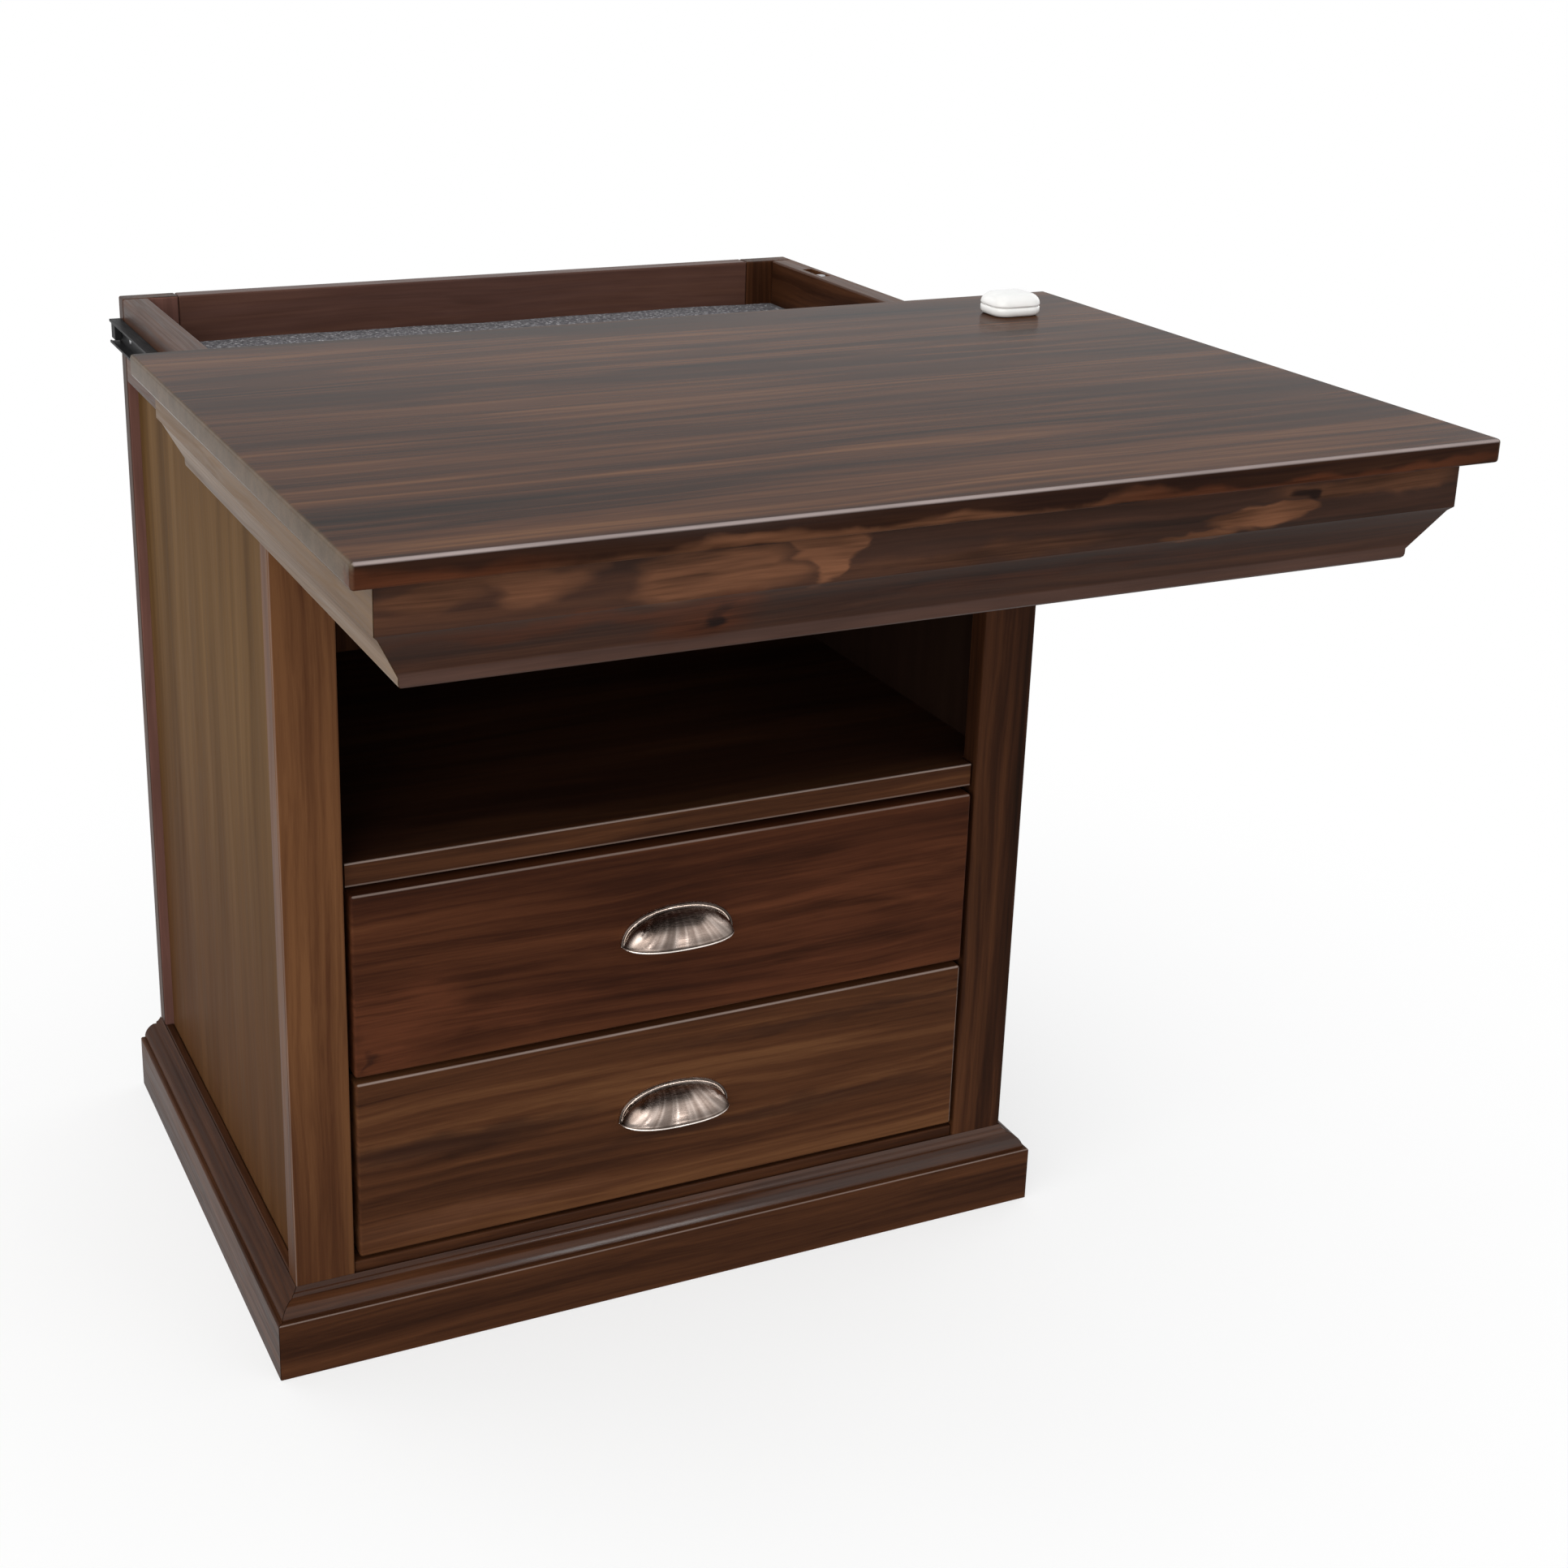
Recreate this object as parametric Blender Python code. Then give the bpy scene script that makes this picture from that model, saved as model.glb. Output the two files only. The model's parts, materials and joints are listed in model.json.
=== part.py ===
"""Nightstand with a sliding top over a hidden compartment.

A plinth with a moulded cap carries a cabinet with two inset drawers and an open cubby.
The crown-moulded top runs forward on ball-bearing slides and uncovers a shallow lined
compartment. A rocker latch in the right rim holds the closed top, and a magnetic key,
which lies on the top, lets it go.

Metres, +Z up, front towards -Y. The pieces are placed from the middle of the cabinet's
front at the floor, and the top is stored as it stands open.
"""
import math

import bmesh
import bpy

# Cabinet: overall size, frame and panels
CABINET_WIDTH = 0.536
CABINET_DEPTH = 0.400
RIM_HEIGHT = 0.638
STILE_WIDTH = 0.040
STILE_THICKNESS = 0.018
POST_THICKNESS = 0.015
RAIL_THICKNESS = 0.016
RAIL_RECESS = 0.002
TOP_RAIL_HEIGHT = 0.070
BOTTOM_RAIL_HEIGHT = 0.040
BOTTOM_RAIL_REVEAL = 0.0070
SIDE_PANEL_RECESS = 0.007
SIDE_PANEL_THICKNESS = 0.011
BACK_PANEL_RECESS = 0.005
BACK_PANEL_THICKNESS = 0.006
BOTTOM_THICKNESS = 0.012
SHELF_THICKNESS = 0.016
SHELF_RECESS = 0.004
SHELF_END_GAP = 0.002

# Plinth and the moulded cap on it
PLINTH_HEIGHT = 0.0413
PLINTH_THICKNESS = 0.0165
CAP_FILLET = 0.0014
CAP_OVOLO_DEPTH = 0.0070
CAP_OVOLO_HEIGHT = 0.0084
CAP_OVOLO_BOW = 0.0014
CAP_LEDGE = 0.0024
CAP_STEP = 0.0013
CAP_COVE_DEPTH = 0.0038
CAP_COVE_HEIGHT = 0.0043
CAP_COVE_BOW = 0.0006

# Hidden compartment
WALL_HEIGHT = 0.060
WALL_THICKNESS = 0.018
FLOOR_THICKNESS = 0.009
LINER_DROP = 0.031
LINER_THICKNESS = 0.008

# Sliding top
TOP_OVERHANG = 0.0535
TOP_THICKNESS = 0.0135
TOP_RIM_GAP = 0.0085
TOP_TRAVEL = 0.300
TOP_EASE = 0.0020
CROWN_INSET = 0.014
CROWN_FACE_HEIGHT = 0.0265
CROWN_LEDGE = 0.0025
CROWN_SLOPE_DEPTH = 0.0135
CROWN_SLOPE_HEIGHT = 0.0242
CROWN_FILLET_HEIGHT = 0.0060
CROWN_FILLET_ROUND = 0.0030
LID_RAIL_THICKNESS = 0.008
LID_RAIL_SHORT = 0.003

# Ball-bearing slides of the top
SLIDE_HEIGHT = 0.017
SLIDE_DEPTH = 0.0098
SLIDE_WALL = 0.0012
SLIDE_LIP = 0.0005
SLIDE_DROP = 0.024
SLIDE_FRONT = 0.012
SLIDE_REAR = 0.004
CHANNEL_DEPTH = 0.0080
BALL_DIAMETER = 0.0024
BALL_PITCH = 0.012
BALLS_PER_RACE = 5
CAGE_WALL = 0.0008
STOP_LENGTH = 0.010
STOP_OVERRUN = 0.002

# Rocker latch in the right wall and its strike under the top
LATCH_SETBACK = 0.066
LATCH_WIDTH = 0.0072
LATCH_PIVOT_DROP = 0.014
ROCKER_RADIUS = 0.007
ROCKER_REACH = 0.024
ROCKER_NOSE = 0.007
ROCKER_RIM_DROP = 0.0007
AXLE_DIAMETER = 0.0030
AXLE_LENGTH = 0.0140
HOOK_LENGTH = 0.004
HOOK_BACK = 0.013
LATCH_LIFT_ANGLE = math.radians(18)
STRIKE_LENGTH = 0.0105
STRIKE_WIDTH = 0.010
STRIKE_RIM_GAP = 0.0008

# Drawers and their runners
DRAWER_FRONT_HEIGHT = 0.1285
DRAWER_FRONT_THICKNESS = 0.018
DRAWER_PROUD = 0.0015
DRAWER_EASE = 0.0020
DRAWER_GAP_ACROSS = 0.0035
DRAWER_GAP_UP = 0.0045
BOX_HEIGHT = 0.095
BOX_DEPTH = 0.330
BOX_LIFT = 0.008
BOX_SIDE_GAP = 0.004
BOX_WALL = 0.012
BOX_BACK_DROP = 0.008
BOX_BOTTOM_THICKNESS = 0.006
BOX_BOTTOM_LIFT = 0.009
BOX_GROOVE_DEPTH = 0.005
RUNNER_TONGUE_HEIGHT = 0.012
RUNNER_TONGUE_REACH = 0.0065
RUNNER_CLEAT_HEIGHT = 0.040

# Cup pulls
PULL_WIDTH = 0.082
PULL_HEIGHT = 0.0243
PULL_DEPTH = 0.020
PULL_WALL = 0.0013
PULL_FLANGE = 0.0032
PULL_BEAD = 0.0009
PULL_LIP_SPREAD = 0.0024
PULL_LIP_SINK = 0.0003
PULL_DROP = 0.0038
PULL_LIP_POWER = 2.4
PULL_ARCH_POWER = 2.2

# Magnetic key, lying on the top
KEY_WIDTH = 0.036
KEY_LENGTH = 0.031
KEY_BASE_HEIGHT = 0.0060
KEY_CAP_HEIGHT = 0.0085
KEY_CORNER = 0.010
KEY_FROM_SIDE = 0.068
KEY_FROM_BACK = 0.064

# Clearances and eased edges
SEAT = 0.0003
RUNNING = 0.0004
BEARING = 0.0003
EASE = 0.0012

# Levels and places worked out from the sizes above
HALF_WIDTH = CABINET_WIDTH / 2
OPENING_HALF = HALF_WIDTH - STILE_WIDTH
WALL_INNER = HALF_WIDTH - WALL_THICKNESS
PANEL_OUTER = HALF_WIDTH - SIDE_PANEL_RECESS
PANEL_INNER = PANEL_OUTER - SIDE_PANEL_THICKNESS
POST_FRONT = CABINET_DEPTH - POST_THICKNESS
BACK_PANEL_BACK = CABINET_DEPTH - BACK_PANEL_RECESS
BACK_PANEL_FRONT = BACK_PANEL_BACK - BACK_PANEL_THICKNESS
CAP_BOTTOM = PLINTH_HEIGHT + SEAT
CAP_TOP = CAP_BOTTOM + CAP_FILLET + CAP_OVOLO_HEIGHT + CAP_STEP + CAP_COVE_HEIGHT
BOTTOM_RAIL_TOP = CAP_TOP + BOTTOM_RAIL_REVEAL
LOWER_DRAWER = BOTTOM_RAIL_TOP + DRAWER_GAP_UP
UPPER_DRAWER = LOWER_DRAWER + DRAWER_FRONT_HEIGHT + DRAWER_GAP_UP
SHELF_BOTTOM = UPPER_DRAWER + DRAWER_FRONT_HEIGHT + DRAWER_GAP_UP
SHELF_TOP = SHELF_BOTTOM + SHELF_THICKNESS
WALL_BOTTOM = RIM_HEIGHT - WALL_HEIGHT
LINER_TOP = RIM_HEIGHT - LINER_DROP
LINER_BOTTOM = LINER_TOP - LINER_THICKNESS
FLOOR_TOP = LINER_BOTTOM - SEAT
TOP_BOTTOM = RIM_HEIGHT + TOP_RIM_GAP
TOP_TOP = TOP_BOTTOM + TOP_THICKNESS
TOP_HALF = HALF_WIDTH + TOP_OVERHANG
LID_RAIL_INNER = SLIDE_DEPTH + 2 * SEAT
LID_RAIL_OUTER = LID_RAIL_INNER + LID_RAIL_THICKNESS
CROWN_BACK = LID_RAIL_OUTER + SEAT
CROWN_TOP = TOP_BOTTOM - SEAT
SLIDE_LEVEL = RIM_HEIGHT - SLIDE_DROP
SLIDE_END = CABINET_DEPTH - SLIDE_REAR
BOX_OUTER = OPENING_HALF - BOX_SIDE_GAP
BOX_INNER = BOX_OUTER - BOX_WALL
BOX_FRONT = DRAWER_FRONT_THICKNESS - DRAWER_PROUD + SEAT
LATCH_Y = CABINET_DEPTH - LATCH_SETBACK
LATCH_Z = RIM_HEIGHT - LATCH_PIVOT_DROP
LATCH_X = HALF_WIDTH - WALL_THICKNESS / 2

# The stored pose has the top open, and the origin under the middle of that outline
REST_FRONT = -TOP_OVERHANG - TOP_TRAVEL
REST_MIDDLE = (REST_FRONT + CABINET_DEPTH) / 2

# Fineness of the curved stretches
PULL_STATIONS = 28
PULL_ROWS = 9
PULL_ARCH_STEPS = 32
PULL_BEAD_SIDES = 8
ROUND_STEPS = 6
BEVEL_SEGMENTS = 2
SMOOTH_BELOW = math.radians(35)

FINISHES = {
    "stained_pine": ((0.075, 0.034, 0.019), 0.38, 0.0),
    "inner_pine": ((0.090, 0.036, 0.024), 0.50, 0.0),
    "grey_felt": ((0.070, 0.072, 0.078), 0.95, 0.0),
    "antique_nickel": ((0.420, 0.350, 0.300), 0.30, 1.0),
    "black_steel": ((0.030, 0.030, 0.032), 0.40, 0.8),
    "bright_steel": ((0.560, 0.560, 0.570), 0.30, 1.0),
    "black_plastic": ((0.012, 0.012, 0.012), 0.50, 0.0),
    "white_plastic": ((0.800, 0.790, 0.770), 0.22, 0.0),
}


def finish_material(finish):
    """The Principled material of one finish, made the first time that it is asked for."""
    found = bpy.data.materials.get(finish)
    if found:
        return found
    colour, roughness, metallic = FINISHES[finish]
    made = bpy.data.materials.new(finish)
    made.use_nodes = True
    shader = made.node_tree.nodes["Principled BSDF"]
    shader.inputs["Base Color"].default_value = (*colour, 1.0)
    shader.inputs["Roughness"].default_value = roughness
    shader.inputs["Metallic"].default_value = metallic
    return made


def empty(name, location, parent=None):
    """A frame that pieces are placed in: the cabinet's, or a moving body's on its joint."""
    frame = bpy.data.objects.new(name, None)
    frame.location = location
    frame.parent = parent
    bpy.context.scene.collection.objects.link(frame)
    return frame


def add(name, shape, finish, parent, location=(0, 0, 0)):
    """An object with the mesh of a bmesh, its normals facing out and its flats kept sharp."""
    bmesh.ops.recalc_face_normals(shape, faces=shape.faces)
    mesh = bpy.data.meshes.new(name)
    shape.to_mesh(mesh)
    shape.free()
    mesh.shade_smooth()
    mesh.set_sharp_from_angle(angle=SMOOTH_BELOW)
    mesh.materials.append(finish_material(finish))
    return place(name, mesh, parent, location)


def place(name, mesh, parent, location):
    piece = bpy.data.objects.new(name, mesh)
    piece.parent = parent
    piece.location = location
    bpy.context.scene.collection.objects.link(piece)
    return piece


def helper(piece):
    """Keeps a cutter or a joined shape out of the finished object."""
    piece.hide_render = True
    piece.display_type = "WIRE"
    return piece


def combine(piece, other, operation):
    step = piece.modifiers.new(other.name, "BOOLEAN")
    step.operation = operation
    step.solver = "EXACT"
    step.object = other


def board(name, x, y, z, finish, parent, ease=EASE):
    """A plain board between two limits on each axis, with its edges eased."""
    spans = (x, y, z)
    shape = bmesh.new()
    bmesh.ops.create_cube(shape, size=1.0)
    bmesh.ops.scale(shape, vec=[high - low for low, high in spans], verts=shape.verts)
    middle = [(low + high) / 2 for low, high in spans]
    piece = add(name, shape, finish, parent, middle)
    edges = piece.modifiers.new("eased", "BEVEL")
    edges.width = ease
    edges.segments = BEVEL_SEGMENTS
    edges.limit_method = "NONE"
    edges.harden_normals = True
    return piece


def bridge(first, last):
    """A closed solid between two rings of points that match one to one."""
    shape = bmesh.new()
    start = [shape.verts.new(point) for point in first]
    end = [shape.verts.new(point) for point in last]
    shape.faces.new(start)
    shape.faces.new(end)
    for i in range(len(start)):
        j = (i + 1) % len(start)
        shape.faces.new((start[i], start[j], end[j], end[i]))
    return shape


def prism(name, outline, along, span, finish, parent, location=(0, 0, 0)):
    """An outline in the plane across an axis, drawn out along that axis."""
    order = {"x": (2, 0, 1), "y": (0, 2, 1), "z": (0, 1, 2)}[along]
    rings = []
    for level in span:
        rings.append([[(a, b, level)[i] for i in order] for a, b in outline])
    return add(name, bridge(*rings), finish, parent, location)


def arc(centre, radii, start, end, steps=ROUND_STEPS):
    """Points of an elliptical arc, its angles in degrees."""
    points = []
    for i in range(steps + 1):
        angle = math.radians(start + (end - start) * i / steps)
        points.append((centre[0] + radii[0] * math.cos(angle), centre[1] + radii[1] * math.sin(angle)))
    return points


def bow(start, end, rise, steps=ROUND_STEPS):
    """Points of a shallow curve between two points, which bulges to the right of its way."""
    across = end[0] - start[0]
    up = end[1] - start[1]
    chord = math.hypot(across, up)
    points = []
    for i in range(steps + 1):
        share = i / steps
        lift = 4 * rise * share * (1 - share) / chord
        points.append((start[0] + across * share + up * lift, start[1] + up * share - across * lift))
    return points


def moulding(kind, profile, rear, finish, parent):
    """Front, left and right runs of one profile of (distance out, height), mitred at the corners."""
    front = ([], [])
    sides = {"left": ([], []), "right": ([], [])}
    for out, z in profile:
        reach = HALF_WIDTH + out
        front[0].append((SEAT - reach, -out, z))
        front[1].append((reach - SEAT, -out, z))
        for side, sign in (("left", -1), ("right", 1)):
            sides[side][0].append((sign * reach, SEAT - out, z))
            sides[side][1].append((sign * reach, rear, z))
    add(f"{kind}_front", bridge(*front), finish, parent)
    for side, rings in sides.items():
        add(f"{kind}_{side}", bridge(*rings), finish, parent)


def mirrored(low, high, sign):
    """A span on the left or right of the middle, from its distances on the right."""
    return tuple(sorted((sign * low, sign * high)))


def make_frame(cabinet):
    """Stiles, posts, rails, side and back panels."""
    for side, sign in (("left", -1), ("right", 1)):
        across = mirrored(OPENING_HALF, HALF_WIDTH, sign)
        height = (0, RIM_HEIGHT)
        board(f"front_{side}_stile", across, (0, STILE_THICKNESS), height, "stained_pine", cabinet)
        board(f"back_{side}_post", across, (POST_FRONT, CABINET_DEPTH), height, "stained_pine", cabinet)
        board(
            f"{side}_side_panel",
            mirrored(PANEL_INNER, PANEL_OUTER, sign),
            (STILE_THICKNESS + SEAT, POST_FRONT - SEAT),
            (0, WALL_BOTTOM - SEAT),
            "stained_pine",
            cabinet,
        )
        board(
            f"{side}_bottom_rail",
            mirrored(PANEL_OUTER + SEAT, HALF_WIDTH, sign),
            (STILE_THICKNESS + SEAT, POST_FRONT - SEAT),
            (0, CAP_TOP),
            "stained_pine",
            cabinet,
        )
    between = (SEAT - OPENING_HALF, OPENING_HALF - SEAT)
    rail_depth = (RAIL_RECESS, RAIL_RECESS + RAIL_THICKNESS)
    top_rail = (RIM_HEIGHT - TOP_RAIL_HEIGHT, RIM_HEIGHT)
    board("front_top_rail", between, rail_depth, top_rail, "stained_pine", cabinet)
    bottom_rail = (BOTTOM_RAIL_TOP - BOTTOM_RAIL_HEIGHT, BOTTOM_RAIL_TOP)
    board("front_bottom_rail", between, rail_depth, bottom_rail, "stained_pine", cabinet)
    back_depth = (POST_FRONT, CABINET_DEPTH)
    board("back_bottom_rail", between, back_depth, (0, PLINTH_HEIGHT), "stained_pine", cabinet)
    board(
        "back_panel",
        between,
        (BACK_PANEL_FRONT, BACK_PANEL_BACK),
        (PLINTH_HEIGHT + SEAT, WALL_BOTTOM - SEAT),
        "inner_pine",
        cabinet,
    )


def make_floors(cabinet):
    """The bottom panel and the cubby's shelf, which is notched round the stiles."""
    board(
        "bottom_panel",
        (SEAT - PANEL_INNER, PANEL_INNER - SEAT),
        (STILE_THICKNESS + SEAT, POST_FRONT - SEAT),
        (CAP_TOP - BOTTOM_THICKNESS, CAP_TOP),
        "inner_pine",
        cabinet,
    )
    narrow = OPENING_HALF - SHELF_END_GAP
    wide = PANEL_INNER - SEAT
    notch = STILE_THICKNESS + SEAT
    post_notch = POST_FRONT - SEAT
    back = BACK_PANEL_FRONT - SEAT
    tail = OPENING_HALF - SEAT
    right = [(narrow, SHELF_RECESS), (narrow, notch), (wide, notch)]
    right += [(wide, post_notch), (tail, post_notch), (tail, back)]
    left = [(-x, y) for x, y in reversed(right)]
    prism("cubby_shelf", right + left, "z", (SHELF_BOTTOM, SHELF_TOP), "stained_pine", cabinet)


def make_base(cabinet):
    """Three mitred plinth boards, with an ovolo cap on them."""
    plinth_out = SEAT + PLINTH_THICKNESS
    rounded = arc((plinth_out - EASE, PLINTH_HEIGHT - EASE), (EASE, EASE), 0, 90, BEVEL_SEGMENTS)
    plinth = [(SEAT, 0), (plinth_out, 0), *rounded, (SEAT, PLINTH_HEIGHT)]
    moulding("plinth", plinth, CABINET_DEPTH, "stained_pine", cabinet)

    step_out = SEAT + CAP_COVE_DEPTH
    ovolo_in = step_out + CAP_LEDGE
    cap_out = ovolo_in + CAP_OVOLO_DEPTH
    ovolo_low = CAP_BOTTOM + CAP_FILLET
    ovolo_high = ovolo_low + CAP_OVOLO_HEIGHT
    ovolo = bow((cap_out, ovolo_low), (ovolo_in, ovolo_high), CAP_OVOLO_BOW)
    cove = bow((step_out, ovolo_high + CAP_STEP), (SEAT, CAP_TOP), -CAP_COVE_BOW, ROUND_STEPS // 2)
    cap = [(SEAT, CAP_BOTTOM), (cap_out, CAP_BOTTOM), *ovolo, (step_out, ovolo_high), *cove]
    moulding("base_cap", cap, CABINET_DEPTH, "stained_pine", cabinet)


def make_compartment(cabinet):
    """Walls, floor and liner of the hidden compartment, with the latch's slot in the right rim."""
    walls = {}
    for side, sign in (("left", -1), ("right", 1)):
        walls[side] = board(
            f"compartment_{side}_wall",
            mirrored(WALL_INNER, HALF_WIDTH, sign),
            (STILE_THICKNESS + SEAT, POST_FRONT - SEAT),
            (WALL_BOTTOM, RIM_HEIGHT),
            "stained_pine",
            cabinet,
        )
    board(
        "compartment_back_board",
        (SEAT - OPENING_HALF, OPENING_HALF - SEAT),
        (POST_FRONT, CABINET_DEPTH),
        (WALL_BOTTOM, RIM_HEIGHT),
        "inner_pine",
        cabinet,
    )
    inside_x = (SEAT - WALL_INNER, WALL_INNER - SEAT)
    inside_y = (STILE_THICKNESS + SEAT, POST_FRONT - SEAT)
    floor = (FLOOR_TOP - FLOOR_THICKNESS, FLOOR_TOP)
    board("compartment_floor", inside_x, inside_y, floor, "inner_pine", cabinet)
    liner = (LINER_BOTTOM, LINER_TOP)
    board("compartment_liner", inside_x, inside_y, liner, "grey_felt", cabinet, LINER_THICKNESS / 4)
    return walls["right"]


def circle(radius, centre=(0, 0)):
    return arc(centre, (radius, radius), 0, 360, 2 * ROUND_STEPS)[:-1]


def cut_latch_slot(wall, cabinet):
    """The slot in the rim that the rocker swings in, with a bore across it for the axle."""
    slot_half = LATCH_WIDTH / 2 + RUNNING
    slot = board(
        "latch_slot",
        (LATCH_X - slot_half, LATCH_X + slot_half),
        (LATCH_Y - ROCKER_REACH - 4 * RUNNING, LATCH_Y + ROCKER_RADIUS + RUNNING),
        (LATCH_Z - ROCKER_RADIUS - SEAT, RIM_HEIGHT + WALL_THICKNESS),
        "black_plastic",
        cabinet,
    )
    slot.modifiers.clear()
    bore_half = AXLE_LENGTH / 2 + RUNNING
    bore_span = (LATCH_X - bore_half, LATCH_X + bore_half)
    bore_outline = circle(AXLE_DIAMETER / 2 + SEAT, (LATCH_Y, LATCH_Z))
    bore = prism("axle_bore", bore_outline, "x", bore_span, "black_plastic", cabinet)
    for cutter in (slot, bore):
        combine(wall, helper(cutter), "DIFFERENCE")


def make_latch(cabinet, lid):
    """The rocker that swings up in front of the strike, and the strike under the top."""
    pivot = empty("latch_pivot", (LATCH_X, LATCH_Y, LATCH_Z), cabinet)
    hook_top = LATCH_PIVOT_DROP - ROCKER_RIM_DROP
    nose_top = hook_top - ROCKER_NOSE
    outline = arc((0, 0), (ROCKER_RADIUS, ROCKER_RADIUS), -90, 90)
    outline += [(-HOOK_BACK, ROCKER_RADIUS), (-HOOK_BACK, hook_top), (-HOOK_BACK - HOOK_LENGTH, hook_top)]
    outline += [(-ROCKER_REACH, nose_top), (-ROCKER_REACH, -ROCKER_RADIUS / 2)]
    rocker = prism("latch_rocker", outline, "x", (-LATCH_WIDTH / 2, LATCH_WIDTH / 2), "bright_steel", pivot)
    axle_span = (-AXLE_LENGTH / 2, AXLE_LENGTH / 2)
    axle = prism("latch_axle", circle(AXLE_DIAMETER / 2), "x", axle_span, "bright_steel", pivot)
    combine(rocker, helper(axle), "UNION")

    # The raised hook's back edge, which the strike of the closed top stands just behind
    catch = hook_top * math.sin(LATCH_LIFT_ANGLE) - HOOK_BACK * math.cos(LATCH_LIFT_ANGLE)
    strike_front = LATCH_Y + catch + 2 * RUNNING
    board(
        "latch_strike",
        (LATCH_X - STRIKE_WIDTH / 2, LATCH_X + STRIKE_WIDTH / 2),
        (strike_front, strike_front + STRIKE_LENGTH),
        (RIM_HEIGHT + STRIKE_RIM_GAP, TOP_BOTTOM - SEAT),
        "bright_steel",
        lid,
        SEAT,
    )


def make_lid(lid):
    """The top board, its crown moulding and the rails behind that, placed as the closed top."""
    board(
        "top_board",
        (-TOP_HALF, TOP_HALF),
        (-TOP_OVERHANG, CABINET_DEPTH),
        (TOP_BOTTOM, TOP_TOP),
        "stained_pine",
        lid,
        TOP_EASE,
    )
    face = TOP_OVERHANG - CROWN_INSET
    ledge = CROWN_TOP - CROWN_FACE_HEIGHT - CROWN_LEDGE
    slope_out = face - CROWN_LEDGE
    fillet_out = slope_out - CROWN_SLOPE_DEPTH
    fillet_top = ledge - CROWN_SLOPE_HEIGHT
    bottom = fillet_top - CROWN_FILLET_HEIGHT
    round_centre = (fillet_out - CROWN_FILLET_ROUND, bottom + CROWN_FILLET_ROUND)
    rounded = arc(round_centre, (CROWN_FILLET_ROUND, CROWN_FILLET_ROUND), 0, -90, ROUND_STEPS // 2)
    crown = [(CROWN_BACK, CROWN_TOP), (face, CROWN_TOP), (face, ledge + CROWN_LEDGE), (slope_out, ledge)]
    crown += [(fillet_out, fillet_top), *rounded, (CROWN_BACK, bottom)]
    moulding("crown", crown, CABINET_DEPTH, "stained_pine", lid)

    rail_bottom = bottom + LID_RAIL_SHORT
    rail = [(LID_RAIL_INNER, rail_bottom), (LID_RAIL_OUTER, rail_bottom)]
    rail += [(LID_RAIL_OUTER, CROWN_TOP), (LID_RAIL_INNER, CROWN_TOP)]
    moulding("lid_rail", rail, CABINET_DEPTH, "inner_pine", lid)


def channel_outline():
    """Section of the fixed channel, as (distance from the cabinet's side, height)."""
    half = SLIDE_HEIGHT / 2
    inner = half - SLIDE_WALL
    lip_in = CHANNEL_DEPTH - SLIDE_WALL
    lip_low = inner - SLIDE_LIP
    upper = [(SLIDE_WALL, inner), (lip_in, inner), (lip_in, lip_low)]
    upper += [(CHANNEL_DEPTH, lip_low), (CHANNEL_DEPTH, half), (0, half)]
    return upper + [(u, -z) for u, z in reversed(upper)]


def race_level():
    """Height of the ball centres above the slide's middle line."""
    return SLIDE_HEIGHT / 2 - SLIDE_WALL - BEARING - BALL_DIAMETER / 2


def cage_depths():
    """Where the cage's web lies in the slide's depth: its near and far face."""
    near = SLIDE_WALL + 2 * BEARING
    return near, near + CAGE_WALL


def runner_outline():
    """Section of the moving runner, which opens towards the channel."""
    half = race_level() - BALL_DIAMETER / 2 - BEARING
    inner = half - SLIDE_WALL
    start = cage_depths()[1] + 2 * BEARING
    upper = [(SLIDE_DEPTH - SLIDE_WALL, inner), (start, inner), (start, half), (SLIDE_DEPTH, half)]
    return upper + [(u, -z) for u, z in reversed(upper)]


def cage_outline():
    """Section of the ball cage, a strip folded round the runner."""
    near, far = cage_depths()
    high = race_level() + CAGE_WALL / 2
    low = race_level() - CAGE_WALL / 2
    reach = CHANNEL_DEPTH - SLIDE_WALL
    upper = [(far, low), (reach, low), (reach, high), (near, high)]
    return upper + [(u, -z) for u, z in reversed(upper)]


def ball_rows(name, sign, parent):
    """Every ball of one cage, as one helper of separate spheres."""
    across = (cage_depths()[0] + CHANNEL_DEPTH) / 2
    start = -BALL_PITCH * (BALLS_PER_RACE - 1) / 2
    shape = bmesh.new()
    for level in (-race_level(), race_level()):
        for i in range(BALLS_PER_RACE):
            made = bmesh.ops.create_icosphere(shape, subdivisions=2, radius=BALL_DIAMETER / 2)
            spot = (sign * (HALF_WIDTH + SEAT + across), start + i * BALL_PITCH, SLIDE_LEVEL + level)
            bmesh.ops.translate(shape, vec=spot, verts=made["verts"])
    return helper(add(name, shape, "bright_steel", parent))


def slide_section(outline, sign):
    """A section of the left or right slide, in its place on the cabinet's side."""
    return [(sign * (HALF_WIDTH + SEAT + u), SLIDE_LEVEL + z) for u, z in outline]


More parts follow.
